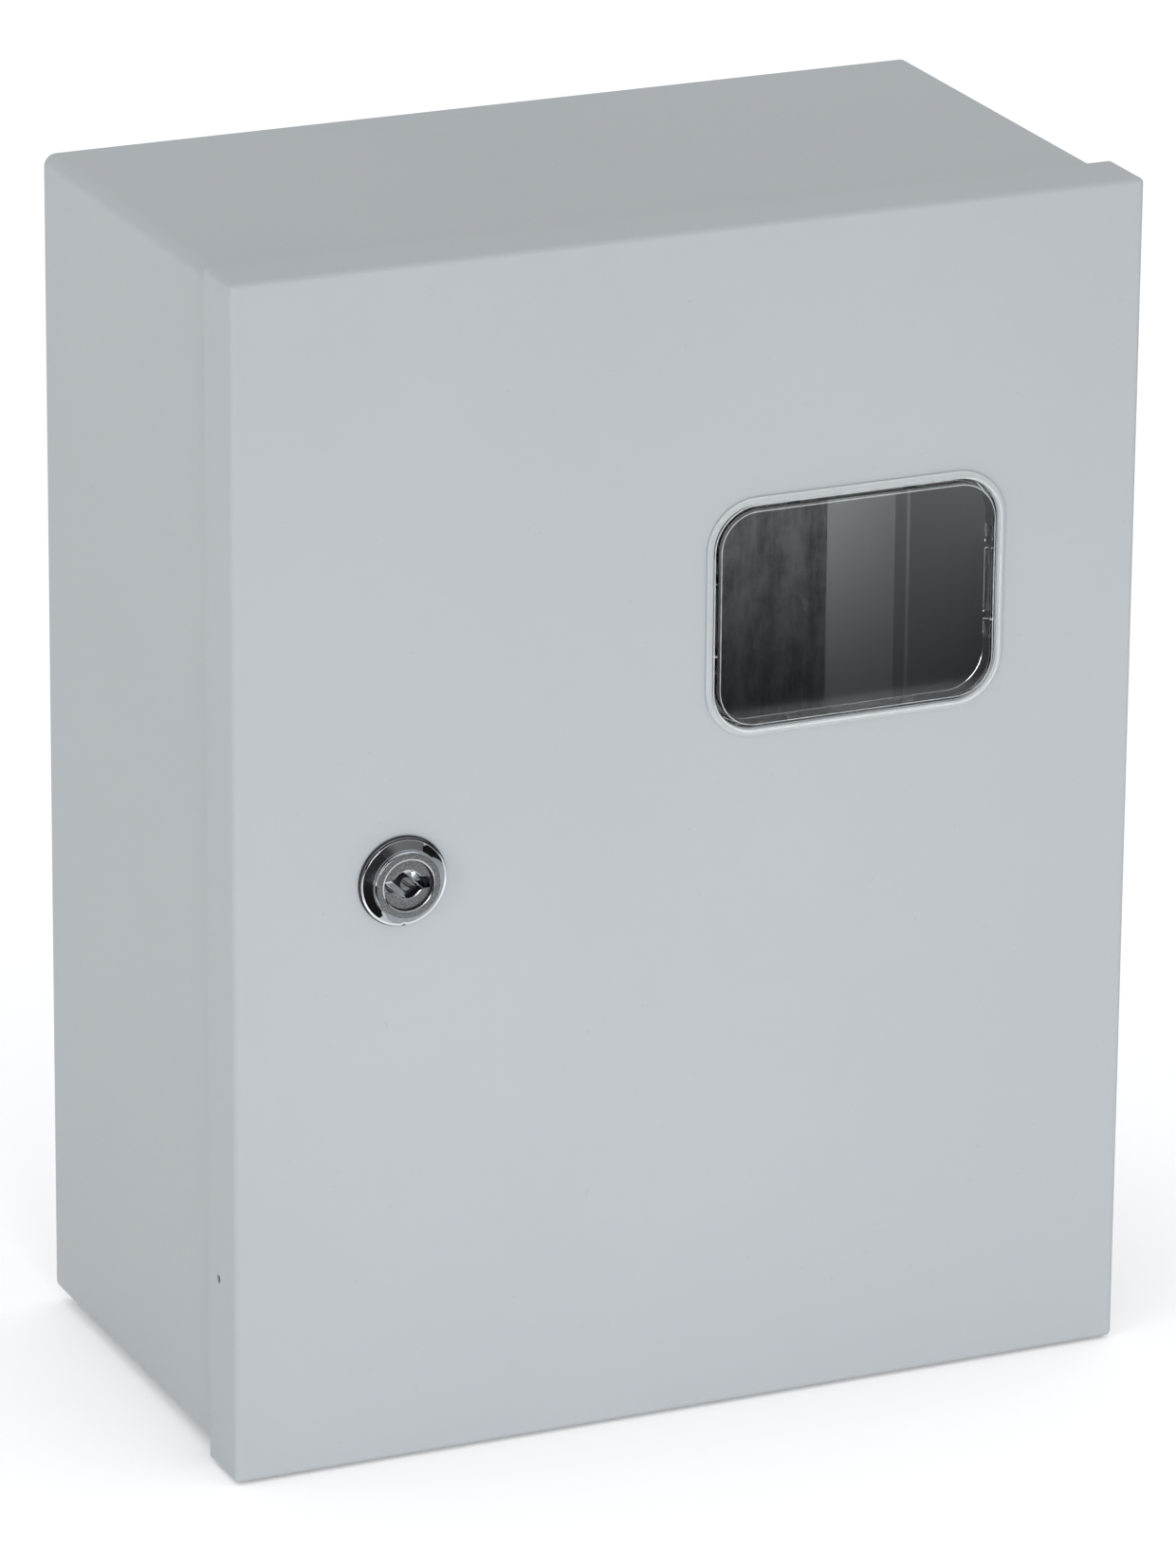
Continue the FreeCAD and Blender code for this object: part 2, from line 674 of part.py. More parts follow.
def make_bar(label, middle, back):
    """Brass terminal bar: wire holes from below, tapped holes and end bolt holes from the front."""
    body = new_body(label, middle, back, "bar_z")
    outline = sketch_on(body, "XZ_Plane")
    rectangle(outline, "0 - bar_length / 2", "bar_length / 2", "0 - bar_height / 2",
              "bar_height / 2")
    pad(body, outline, "bar_thickness")
    centres = [f"bar_pitch * {step - (TERMINALS - 1) / 2}" for step in range(TERMINALS)]
    wires = sketch_on(body, "XY_Plane", "0 - bar_height / 2")
    taps = sketch_on(body, "XZ_Plane", "bar_thickness / 2")
    for centre in centres:
        circle(wires, "bar_wire_radius", centre, "0 - bar_thickness / 2")
        circle(taps, "terminal_radius + thread_play", centre)
    pocket(body, wires, "bar_height", forwards=True)
    pocket(body, taps, "bar_thickness", forwards=True)
    ends = sketch_on(body, "XZ_Plane")
    for across in signed("bar_bolt_x"):
        circle(ends, "bar_bolt_radius + hole_play / 2", across)
    pocket(body, ends, "bar_thickness", forwards=True)
    return [f"({middle}) + {centre}" for centre in centres]


def make_bars():
    """Ground bar on metal posts at the left, neutral bar on insulators at the right."""
    for name, side, back in (("ground", "0 - bar_x", "ground_back"),
                             ("neutral", "bar_x", "neutral_back")):
        front = f"{back} + bar_thickness"
        centres = make_bar(f"{name}_bar", side, back)
        group(f"{name}_terminal_screws",
              [slotted_screw("terminal_head", "terminal_height", "terminal_radius",
                             "bar_thickness / 2 - fit_gap", x, front, "bar_z")
               for x in centres])
        grip = "bar_post" if name == "ground" else "insulator_depth - insulator_foot_depth"
        reach = f"bar_thickness + {grip}"
        group(f"{name}_bar_bolts",
              [slotted_screw("terminal_head", "terminal_height", "bar_bolt_radius", reach,
                             f"{side} + {across}", front, "bar_z")
               for across in signed("bar_bolt_x")])
    group("ground_bar_posts",
          [ring("bar_post_radius", "bar_bolt_radius + thread_play", "bar_post",
                f"{across} - bar_x", "plate_front", "bar_z") for across in signed("bar_bolt_x")])


def make_insulator(label, across):
    """Moulded stand-off with a foot that takes two screws, and ribs round its column."""
    body = new_body(label, f"bar_x + {across}", "plate_front", "bar_z")
    foot = sketch_on(body, "XZ_Plane")
    rounded_rectangle(foot, "insulator_width", "insulator_foot", "plate_corner")
    pad(body, foot, "insulator_foot_depth")
    column = sketch_on(body, "XZ_Plane")
    rounded_rectangle(column, "insulator_width", "insulator_height", "plate_corner")
    pad(body, column, "insulator_depth")
    depth = "insulator_depth"
    for share in (2, 3):
        groove = sketch_on(body, "XZ_Plane", f"{depth} * {share} / 4 - 1")
        rounded_rectangle(groove, "insulator_width + 2", "insulator_height + 2", "plate_corner")
        rounded_rectangle(groove, "insulator_width - 2", "insulator_height - 2",
                          "plate_corner - 1")
        pocket(body, groove, "2", forwards=True)
    tap = sketch_on(body, "XZ_Plane", depth)
    circle(tap, "bar_bolt_radius + thread_play")
    pocket(body, tap, "insulator_depth - insulator_foot_depth")
    feet = sketch_on(body, "XZ_Plane")
    for up in signed("foot_screw_z"):
        circle(feet, "foot_screw_radius + hole_play", "0", up)
    pocket(body, feet, "insulator_foot_depth", forwards=True)


def make_insulators():
    for side, across in zip(("left", "right"), signed("bar_bolt_x")):
        make_insulator(f"neutral_insulator_{side}", across)
    group("insulator_screws",
          [slotted_screw("foot_screw_head", "foot_screw_height", "foot_screw_radius",
                         "insulator_foot_depth + plate_thickness + 2", x,
                         "plate_front + insulator_foot_depth", z) for x, z in FOOT_SCREWS])


# ---------------------------------------------------------------- earthing and cable entries

def make_earth_fixings():
    """Welded earthing studs with washer and nut: on the left wall, and on the door's inside."""
    wall = "sheet - body_width / 2"
    body_spot = ("earth_depth", "earth_z", TOWARDS_RIGHT)
    keep(cylinder("earth_radius", "earth_length", wall, *body_spot), "body_earth_stud")
    keep(ring("washer_radius", "earth_radius + hole_play", "washer_thickness", wall,
              *body_spot), "body_earth_washer")
    keep(hex_nut("nut_flat", "earth_radius + thread_play", "nut_height",
                 f"{wall} + washer_thickness", *body_spot), "body_earth_nut")
    door_x = "door_earth_x"
    door_z = "door_earth_z"
    inside = "door_inside"
    keep(cylinder("earth_radius", "earth_length", door_x, inside, door_z, TOWARDS_BACK),
         "door_earth_stud")
    keep(ring("washer_radius", "earth_radius + hole_play", "washer_thickness", door_x, inside,
              door_z, TOWARDS_BACK), "door_earth_washer")
    keep(hex_nut("nut_flat", "earth_radius + thread_play", "nut_height", door_x,
                 f"{inside} - washer_thickness", door_z, TOWARDS_BACK), "door_earth_nut")


def make_grommet(side, x):
    """Membrane grommet round the edge of one cable entry."""
    body = new_body(f"cable_grommet_{side}", x, "entry_depth", "body_floor")
    outer = "entry_radius + grommet_lip"
    bore = "entry_radius - grommet_core"
    neck = "entry_radius - soft_gap"
    low = "0 - soft_gap"
    high = "sheet + soft_gap"
    skin = f"{high} + grommet_inner - grommet_membrane"
    profile = sketch_on(body, "XZ_Plane")
    polygon(profile, [
        ("0", skin), (bore, skin), (bore, f"{low} - grommet_outer"),
        (f"{outer} - 1", f"{low} - grommet_outer"), (outer, f"{low} - grommet_outer / 2"),
        (outer, low), (neck, low), (neck, high), (f"{outer} - 1", high),
        (neck, f"{high} + grommet_inner"), ("0", f"{high} + grommet_inner"),
    ])
    revolve(body, profile)


# ---------------------------------------------------------------- door

def make_door_panel():
    """Front sheet with a folded edge all round, the window opening and the lock's hole."""
    body = new_body("door_panel")
    front = sketch_on(body, "XZ_Plane", "door_inside")
    rectangle(front, "0 - door_width / 2", "door_width / 2", "0 - door_height / 2",
              "door_height / 2")
    pad(body, front, "sheet")
    edge = sketch_on(body, "XZ_Plane", "door_back")
    rectangle(edge, "0 - door_width / 2", "door_width / 2", "0 - door_height / 2",
              "door_height / 2")
    rectangle(edge, "sheet - door_width / 2", "door_width / 2 - sheet",
              "sheet - door_height / 2", "door_height / 2 - sheet")
    pad(body, edge, "flange_depth - sheet")
    half_width = number("door_width / 2")
    half_height = number("door_height / 2")
    face = number("0 - overall_depth")

    def outer_bend(box):
        beside = near(box.XMax, box.XMin) and near(abs(box.XMax), half_width)
        level = near(box.ZMax, box.ZMin) and near(abs(box.ZMax), half_height)
        flat = near(box.YMin, face) and near(box.YMax, face)
        return (flat and (beside or level)) or (beside and level)
    round_edges(body, "door_bend", outer_bend)
    opening = sketch_on(body, "XZ_Plane", "door_inside")
    rounded_rectangle(opening, "cutout_width", "cutout_height", "cutout_corner", "window_x",
                      "window_z")
    pocket(body, opening, "sheet + 1", forwards=True)
    side_hole = sketch_on(body, "YZ_Plane", "0 - door_width / 2 - 1")
    circle(side_hole, "flange_hole_radius", "flange_hole_setback - overall_depth",
           "flange_hole_rise - door_height / 2")
    pocket(body, side_hole, "sheet + 2", forwards=True)
    lock_hole = sketch_on(body, "XZ_Plane", "door_inside")
    bind(lock_hole, "AttachmentOffset.Base.x", "lock_x")
    bind(lock_hole, "AttachmentOffset.Base.y", "lock_z")
    flatted_circle(lock_hole, "barrel_radius + barrel_play", "barrel_flat + barrel_play")
    pocket(body, lock_hole, "sheet + 1", forwards=True)


def make_door_gasket():
    """Foam strip on the door's inside that meets the rain rim."""
    body = new_body("door_gasket")
    strip = sketch_on(body, "XZ_Plane", "rim_front + soft_gap")
    for side, corner in ((1, "rim_corner - sheet / 2 + gasket_width / 2"), (-1, "door_bend")):
        rounded_rectangle(strip, f"rim_width - sheet + {side} * gasket_width",
                          f"rim_height - sheet + {side} * gasket_width", corner)
    pad(body, strip, "gasket_thickness")


def make_window():
    """Clear snap-in window: a plate over the opening, a skirt through it, clips behind it."""
    body = new_body("window_pane", "window_x", "0", "window_z")
    plate = sketch_on(body, "XZ_Plane", "window_back")
    rounded_rectangle(plate, "window_width", "window_height", "window_corner")
    pad(body, plate, "window_thickness")
    face = number("0 - window_back - window_thickness")
    round_edges(body, "window_edge", lambda box: near(box.YMin, face) and near(box.YMax, face))
    skirt = sketch_on(body, "XZ_Plane", "window_back - window_skirt")
    rounded_rectangle(skirt, "skirt_width", "skirt_height", "skirt_corner")
    rounded_rectangle(skirt, "skirt_width - 2 * window_wall", "skirt_height - 2 * window_wall",
                      "skirt_corner - window_wall")
    pad(body, skirt, "window_skirt")
    catches = sketch_on(body, "XZ_Plane", "door_inside - clip_gap - clip_depth")
    inner = "skirt_width / 2 - window_wall"
    outer = "skirt_width / 2 + clip_reach"
    nub = "skirt_width / 2 + clip_reach / 2"
    for flip in ("1", "-1"):
        rectangle(catches, f"{flip} * ({inner})", f"{flip} * ({outer})", "0 - clip_length / 2",
                  "clip_length / 2")
        for up in signed("nub_side_pitch / 2"):
            rectangle(catches, f"{flip} * ({inner})", f"{flip} * ({nub})",
                      f"{up} - nub_length / 2", f"{up} + nub_length / 2")
    inner = "skirt_height / 2 - window_wall"
    nub = "skirt_height / 2 + clip_reach / 2"
    for flip in ("1", "-1"):
        for across in signed("nub_end_pitch / 2"):
            rectangle(catches, f"{across} - nub_length / 2", f"{across} + nub_length / 2",
                      f"{flip} * ({inner})", f"{flip} * ({nub})")
    pad(body, catches, "clip_depth")
    seal = new_body("window_seal", "window_x", "0", "window_z")
    strip = sketch_on(seal, "XZ_Plane", "overall_depth")
    rounded_rectangle(strip, "window_width - 2 * soft_gap", "window_height - 2 * soft_gap",
                      "window_corner - soft_gap")
    rounded_rectangle(strip, "cutout_width + 2 * soft_gap", "cutout_height + 2 * soft_gap",
                      "cutout_corner + soft_gap")
    pad(seal, strip, "window_seal")


# ---------------------------------------------------------------- lock

def make_lock_housing():
    """Turned housing: a coned bezel round a raised face, a threaded barrel with two flats."""
    body = new_body("lock_housing", "lock_x", "0", "lock_z")
    head_bore = "rotor_radius + running_gap"
    tail_bore = "rotor_shaft + running_gap"
    shelf = "0 - rotor_shoulder + running_gap"
    profile = sketch_on(body, "XY_Plane")
    polygon(profile, [
        (head_bore, "0 - lock_front"), ("lock_face_radius", "0 - lock_front"),
        ("lock_face_radius + 0.4", "0.4 - lock_front"),
        ("lock_face_radius + 0.4", "0 - bezel_back - bezel_edge - cone_height"),
        ("bezel_radius - bezel_rim", "0 - bezel_back - bezel_edge"),
        ("bezel_radius - 0.3", "0 - bezel_back - bezel_edge"),
        ("bezel_radius", "0.3 - bezel_back - bezel_edge"), ("bezel_radius", "0 - bezel_back"),
        ("barrel_radius", "0 - bezel_back"), ("barrel_radius", "0 - barrel_end"),
        (tail_bore, "0 - barrel_end"), (tail_bore, shelf), (head_bore, shelf),
    ])
    revolve(body, profile)
    flats = sketch_on(body, "XZ_Plane", "bezel_back")
    for side in signed("1"):
        rectangle(flats, "0 - barrel_radius", "barrel_radius", f"{side} * barrel_flat",
                  f"{side} * (barrel_radius + 1)")
    pocket(body, flats, "bezel_back - barrel_end + 1")


def make_lock_trim():
    """Seal under the bezel and the hexagonal nut inside the door."""
    keep(ring("bezel_radius - soft_gap", "barrel_radius + soft_gap", "lock_seal", "lock_x",
              "overall_depth", "lock_z"), "lock_seal")
    keep(hex_nut("lock_nut_flat", "barrel_radius + thread_play", "lock_nut_height", "lock_x",
                 "door_inside - lock_nut_height", "lock_z"), "lock_nut")


def make_lock_rotor():
    """Rotor with a double-bit key socket in front and a square for the cam behind."""
    body = new_body("lock_rotor", "lock_x", "0", "lock_z")
    profile = sketch_on(body, "XY_Plane")
    polygon(profile, [
        ("0", "0 - rotor_front"), ("rotor_radius", "0 - rotor_front"),
        ("rotor_radius", "0 - rotor_shoulder"), ("rotor_shaft", "0 - rotor_shoulder"),
        ("rotor_shaft", "0 - cam_front"), ("0", "0 - cam_front"),
    ])
    revolve(body, profile)
    square = sketch_on(body, "XZ_Plane", "cam_back + fit_gap")
    rectangle(square, "0 - cam_square / 2", "cam_square / 2", "0 - cam_square / 2",
              "cam_square / 2")
    pad(body, square, "cam_thickness")
    socket = sketch_on(body, "XZ_Plane", "rotor_front")
    circle(socket, "key_hole_radius")
    circle(socket, "key_pin_radius")
    pocket(body, socket, "key_depth")
    wings = sketch_on(body, "XZ_Plane", "rotor_front")
    for side in signed("1"):
        rectangle(wings, f"{side} * (key_pin_radius + 1)", f"{side} * key_wing_reach",
                  "0 - key_wing_half", "key_wing_half")
    pocket(body, wings, "key_depth")
    tap = sketch_on(body, "XZ_Plane", "cam_back")
    circle(tap, "bar_bolt_radius + thread_play")
    pocket(body, tap, "3 * cam_thickness", forwards=True)


def make_lock_cam():
    """Straight cam that hangs down when the lock is open and turns behind the return."""
    body = new_body("lock_cam", "lock_x", "0", "lock_z")
    hub = sketch_on(body, "XZ_Plane", "cam_back")
    circle(hub, "cam_hub_radius")
    pad(body, hub, "cam_thickness")
    arm = sketch_on(body, "XZ_Plane", "cam_back")
    half = "cam_arm_width / 2"
    polygon(arm, [
        (f"0 - {half}", "0"), (f"0 - {half}", f"{half} - cam_length"),
        (f"0 - {half} / 2", "0 - cam_length"), (f"{half} / 2", "0 - cam_length"),
        (half, f"{half} - cam_length"), (half, "0"),
    ])
    pad(body, arm, "cam_thickness")
    square = sketch_on(body, "XZ_Plane", "cam_back")
    side = "cam_square / 2 + running_gap"
    rectangle(square, f"0 - ({side})", side, f"0 - ({side})", side)
    pocket(body, square, "cam_thickness", forwards=True)
    keep(ring("washer_radius", "bar_bolt_radius + hole_play", "washer_thickness", "lock_x",
              "cam_back - washer_thickness", "lock_z"), "cam_washer")
    seat = "cam_back - washer_thickness"
    head = hexagon("nut_flat * 0.8", "terminal_height", "lock_x", seat, "lock_z", TOWARDS_BACK)
    shank = cylinder("bar_bolt_radius", "washer_thickness + 2 * cam_thickness", "lock_x", seat,
                     "lock_z")
    keep(fuse(head, shank), "cam_screw")


# ---------------------------------------------------------------- hinges

def make_hinge(name, z):
    """Bracket on the body, leaf on the door and the pin that joins them, about the pivot."""
    leaf = new_body(f"hinge_leaf_{name}", "pivot_x", "pivot_depth", z)
    outline = sketch_on(leaf, "XY_Plane", "0 - hinge_length / 2")
    rectangle(outline, "flange_inside - leaf", "flange_inside", "0 - leaf_front", "leaf_back")
    pad(leaf, outline, "hinge_length")
    strap = sketch_on(leaf, "XY_Plane", "0 - hinge_length / 2")
    rectangle(strap, "0", "flange_inside", "0 - knuckle_radius", "leaf - knuckle_radius")
    pad(leaf, strap, "hinge_length")
    knuckle = sketch_on(leaf, "XY_Plane", "0 - hinge_length / 2")
    circle(knuckle, "knuckle_radius")
    pad(leaf, knuckle, "hinge_length")
    notch = sketch_on(leaf, "XY_Plane", "0 - hinge_middle / 2 - knuckle_gap")
    rectangle(notch, "0 - knuckle_radius - 1", "flange_inside - leaf", "0 - knuckle_radius - 1",
              "knuckle_radius + 1")
    pocket(leaf, notch, "hinge_middle + 2 * knuckle_gap", forwards=True)
    bore = sketch_on(leaf, "XY_Plane", "0 - hinge_length / 2")
    circle(bore, "pin_radius + running_gap")
    pocket(leaf, bore, "hinge_length", forwards=True)

    bracket = new_body(f"hinge_bracket_{name}", "pivot_x", "pivot_depth", z)
    foot = sketch_on(bracket, "XY_Plane", "0 - arm_foot_length / 2")
    rectangle(foot, "0 - rim_reach", "arm - rim_reach", "0 - arm_foot", "0 - arm_offset")
    pad(bracket, foot, "arm_foot_length")
    arm = sketch_on(bracket, "XY_Plane", "0 - hinge_middle / 2")
    rectangle(arm, "0 - rim_reach", "0", "0 - arm_offset - arm", "0 - arm_offset")
    pad(bracket, arm, "hinge_middle")
    knuckle = sketch_on(bracket, "XY_Plane", "0 - hinge_middle / 2")
    circle(knuckle, "knuckle_radius")
    pad(bracket, knuckle, "hinge_middle")
    bore = sketch_on(bracket, "XY_Plane", "0 - hinge_middle / 2")
    circle(bore, "pin_radius + pin_fit")
    pocket(bracket, bore, "hinge_middle", forwards=True)

    top = f"{z} + hinge_length / 2 + knuckle_gap / 2"
    head = cylinder("pin_head_radius", "pin_head_height", "pivot_x", "pivot_depth", top, UPWARDS)
    shank = cylinder("pin_radius", "hinge_length + knuckle_gap", "pivot_x", "pivot_depth",
                     f"{z} - hinge_length / 2 - knuckle_gap / 2", UPWARDS)
    keep(fuse(head, shank), f"hinge_pin_{name}")


# ---------------------------------------------------------------- build and write

def check_and_write():
    doc.recompute()
    for thing in doc.Objects:
        if "Invalid" in thing.State or "Error" in thing.State:
            raise RuntimeError(f"{thing.Label} failed: {thing.State}")
    labels = [thing.Label for thing in nodes]
    if len(set(labels)) != len(labels):
        raise RuntimeError("two sub-parts share a label")
    for thing in nodes:
        if thing.Shape.isNull() or not thing.Shape.isValid():
            raise RuntimeError(f"{thing.Label} has no valid shape")
    os.makedirs("parts", exist_ok=True)
    for thing in nodes:
        thing.Shape.exportStep(f"parts/{thing.Label}.step")
        print(thing.Label, len(thing.Shape.Solids), round(thing.Shape.Volume, 1))


make_body_shell()
make_rim_frame()
make_back_panel()
make_mounting_plate()
make_plate_fixings()
make_rail()
make_bars()
make_insulators()
make_earth_fixings()
for entry_side, entry_x in (("left", "0 - entry_pitch"), ("middle", "0"),
                            ("right", "entry_pitch")):
    make_grommet(entry_side, entry_x)
make_door_panel()
make_door_gasket()
make_window()
make_lock_housing()
make_lock_trim()
make_lock_rotor()
make_lock_cam()
make_hinge("upper", "hinge_z")
make_hinge("lower", "0 - hinge_z")
check_and_write()
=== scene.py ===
import json
import math

import bmesh
import bpy
import numpy as np
from mathutils import Matrix, Vector


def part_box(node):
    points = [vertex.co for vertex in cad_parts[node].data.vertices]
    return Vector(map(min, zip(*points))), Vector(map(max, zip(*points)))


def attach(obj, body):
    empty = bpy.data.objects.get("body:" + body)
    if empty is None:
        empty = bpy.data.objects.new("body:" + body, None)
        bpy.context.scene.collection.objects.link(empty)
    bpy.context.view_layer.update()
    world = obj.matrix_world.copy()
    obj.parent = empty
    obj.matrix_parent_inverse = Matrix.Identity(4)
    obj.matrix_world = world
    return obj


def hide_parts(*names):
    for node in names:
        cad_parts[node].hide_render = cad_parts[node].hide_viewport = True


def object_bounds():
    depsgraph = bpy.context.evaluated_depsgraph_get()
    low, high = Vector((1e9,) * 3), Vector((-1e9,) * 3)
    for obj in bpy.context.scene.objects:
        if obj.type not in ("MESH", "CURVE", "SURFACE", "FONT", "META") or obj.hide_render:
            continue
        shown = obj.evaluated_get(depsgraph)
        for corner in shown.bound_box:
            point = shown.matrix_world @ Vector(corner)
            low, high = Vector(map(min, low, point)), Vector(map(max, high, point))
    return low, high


# Looks of a wall-mounted sheet-steel switchboard cabinet: finishes, light and camera, and the
# pieces whose shape needs more than the plain solids: window, lock, seals, grommets and threads.
# Metres; +Z is up, the door looks along -Y, the wall is the plane y = 0.
# "Depth" is the distance in front of the wall, so a depth of 0.165 lies at y = -0.165.

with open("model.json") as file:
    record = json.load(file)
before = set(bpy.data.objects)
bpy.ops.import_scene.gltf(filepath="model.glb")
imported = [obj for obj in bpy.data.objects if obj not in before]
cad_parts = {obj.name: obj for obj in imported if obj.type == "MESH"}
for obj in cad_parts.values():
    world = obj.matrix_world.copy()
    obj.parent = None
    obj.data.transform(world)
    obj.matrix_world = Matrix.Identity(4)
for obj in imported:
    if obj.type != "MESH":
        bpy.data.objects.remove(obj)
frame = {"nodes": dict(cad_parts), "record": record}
cad_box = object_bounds()
nodes = frame["nodes"]

MM = 0.001
TURN = 2 * math.pi


# ---------------------------------------------------------------- shader arithmetic

class Field:
    """A value that varies over a surface.  Its operators add Math nodes."""

    def __init__(self, finish, socket):
        self.finish = finish
        self.socket = socket

    def math(self, operation, *values):
        """This field and other values through one Math node."""
        wanted = dict(enumerate((self, *values)))
        return self.finish.node("ShaderNodeMath", {"operation": operation}, wanted)

    def __add__(self, other):
        return self.math("ADD", other)

    __radd__ = __add__

    def __mul__(self, other):
        return self.math("MULTIPLY", other)

    __rmul__ = __mul__

    def __rsub__(self, other):
        return (self * -1) + other

    def above(self, edge, softness):
        """Rises smoothly from 0 to 1 as the value passes the edge."""
        wanted = {"Value": self, "From Min": edge - softness, "From Max": edge + softness}
        settings = {"interpolation_type": "SMOOTHSTEP"}
        return self.finish.node("ShaderNodeMapRange", settings, wanted)


class Finish:
    """One material: a Principled surface whose sockets take numbers or fields."""

    def __init__(self, name):
        self.material = bpy.data.materials.new(name)
        self.material.use_nodes = True
        self.tree = self.material.node_tree
        self.tree.nodes.clear()
        self.surface = self.tree.nodes.new("ShaderNodeBsdfPrincipled")
        output = self.tree.nodes.new("ShaderNodeOutputMaterial")
        self.tree.links.new(self.surface.outputs[0], output.inputs[0])
        self.place = self.node("ShaderNodeTexCoord", {}, {}, "Object")

    def node(self, kind, settings, values, output=0):
        """Adds a node: settings first, then its sockets' values or links."""
        made = self.tree.nodes.new(kind)
        for name, value in settings.items():
            setattr(made, name, value)
        for name, value in values.items():
            self.feed(made.inputs[name], value)
        return Field(self, made.outputs[output])

    def feed(self, socket, value):
        """Links a field to a socket, or sets a colour or a number on it."""
        if isinstance(value, Field):
            self.tree.links.new(value.socket, socket)
        elif socket.type == "RGBA":
            socket.default_value = (*value, 1.0)
        else:
            socket.default_value = value

    def set(self, **values):
        """Feeds the surface; a socket's name is given with _ for each space."""
        for name, value in values.items():
            self.feed(self.surface.inputs[name.replace("_", " ")], value)
        return self

    def stretched(self, x, y, z):
        """Object coordinates scaled along each axis."""
        return self.node("ShaderNodeMapping", {}, {"Vector": self.place, "Scale": (x, y, z)})

    def noise(self, scale, detail=2.0, roughness=0.5, where=None):
        """Cloudy noise from 0 to 1, with `scale` features to the metre."""
        values = {"Vector": where or self.place, "Scale": scale, "Detail": detail,
                  "Roughness": roughness}
        return self.node("ShaderNodeTexNoise", {}, values, "Fac")

    def cells(self, scale, output="Color"):
        """Crystal-like cells, `scale` to the metre."""
        values = {"Vector": self.place, "Scale": scale}
        return self.node("ShaderNodeTexVoronoi", {}, values, output)

    def blend(self, factor, first, second):
        """Mixes two colours by a field."""
        values = {0: factor, 6: first, 7: second}
        return self.node("ShaderNodeMix", {"data_type": "RGBA"}, values, 2)

    def relief(self, height, distance, strength=1.0):
        """Bumps the surface by a field whose full swing is `distance` metres."""
        values = {"Height": height, "Distance": distance, "Strength": strength}
        self.set(Normal=self.node("ShaderNodeBump", {}, values, "Normal"))
        return self.material


# ---------------------------------------------------------------- finishes

def powder_coat():
    """Light grey powder coat: a shallow peel about a millimetre across, and faint clouds."""
    finish = Finish("powder_coat")
    peel = finish.noise(900.0, 2.0, 0.45)
    grain = finish.noise(3200.0, 1.0)
    cloud = finish.noise(7.0, 3.0, 0.6)
    speck = finish.noise(420.0, 0.0).above(0.86, 0.02)
    tone = finish.blend(cloud.above(0.5, 0.3), (0.362, 0.387, 0.405), (0.374, 0.399, 0.417))
    finish.set(Base_Color=finish.blend(speck * 0.25, tone, (0.26, 0.28, 0.30)))
    finish.set(Roughness=peel * 0.14 + 0.42, Specular_IOR_Level=0.42)
    return finish.relief(peel + grain * 0.35, 0.05 * MM, 0.6)


def galvanised():
    """Hot-dip zinc: clouded spangle with vertical rolling streaks."""
    finish = Finish("galvanised_sheet")
    spangle = finish.node("ShaderNodeSeparateColor", {}, {"Color": finish.cells(85.0)}, "Red")
    streak = finish.noise(170.0, 6.0, 0.7, finish.stretched(1.0, 1.0, 0.16))
    cloud = finish.noise(45.0, 6.0, 0.75)
    shade = streak * 0.50 + cloud * 0.48 + spangle * 0.04
    finish.set(Base_Color=finish.blend(shade.above(0.50, 0.16), (0.20, 0.215, 0.225),
                                       (0.52, 0.54, 0.55)))
    finish.set(Metallic=0.85, Roughness=0.66 - shade * 0.22)
    return finish.relief(shade + finish.noise(900.0) * 0.3, 0.03 * MM, 0.5)


def zinc_plate():
    """Bright zinc on small fasteners, with a faint warm and cool tint."""
    finish = Finish("zinc_plate")
    tint = finish.noise(140.0, 3.0, 0.6)
    finish.set(Base_Color=finish.blend(tint, (0.60, 0.61, 0.63), (0.72, 0.71, 0.66)))
    finish.set(Metallic=1.0, Roughness=finish.noise(900.0, 2.0) * 0.16 + 0.24)
    return finish.relief(finish.noise(2600.0, 2.0), 0.02 * MM, 0.5)


def bar_brass():
    """Drawn brass, brushed along its length, a little tarnished."""
    finish = Finish("bar_brass")
    brushed = finish.noise(700.0, 3.0, 0.6, finish.stretched(0.05, 1.0, 1.0))
    stain = finish.noise(60.0, 4.0, 0.6)
    finish.set(Base_Color=finish.blend(stain.above(0.5, 0.2), (0.80, 0.58, 0.27),
                                       (0.62, 0.42, 0.18)))
    finish.set(Metallic=1.0, Roughness=brushed * 0.18 + 0.22)
    return finish.relief(brushed, 0.02 * MM, 0.6)


def moulded_blue():
    """Blue moulding with faint flow clouds and a fine spark-eroded skin."""
    finish = Finish("moulded_blue")
    flow = finish.noise(25.0, 3.0, 0.6)
    finish.set(Base_Color=finish.blend(flow, (0.020, 0.11, 0.40), (0.030, 0.15, 0.50)))
    finish.set(Roughness=finish.noise(600.0) * 0.12 + 0.30)
    return finish.relief(finish.noise(1800.0, 2.0), 0.02 * MM, 0.5)


def black_rubber():
    """Matt rubber with a pale bloom here and there."""
    finish = Finish("black_rubber")
    bloom = finish.noise(120.0, 4.0, 0.65)
    finish.set(Base_Color=finish.blend(bloom.above(0.55, 0.2), (0.020, 0.020, 0.022),
                                       (0.050, 0.050, 0.054)))
    finish.set(Roughness=bloom * 0.2 + 0.52, Specular_IOR_Level=0.35)
    return finish.relief(finish.noise(2200.0, 3.0), 0.04 * MM, 0.6)


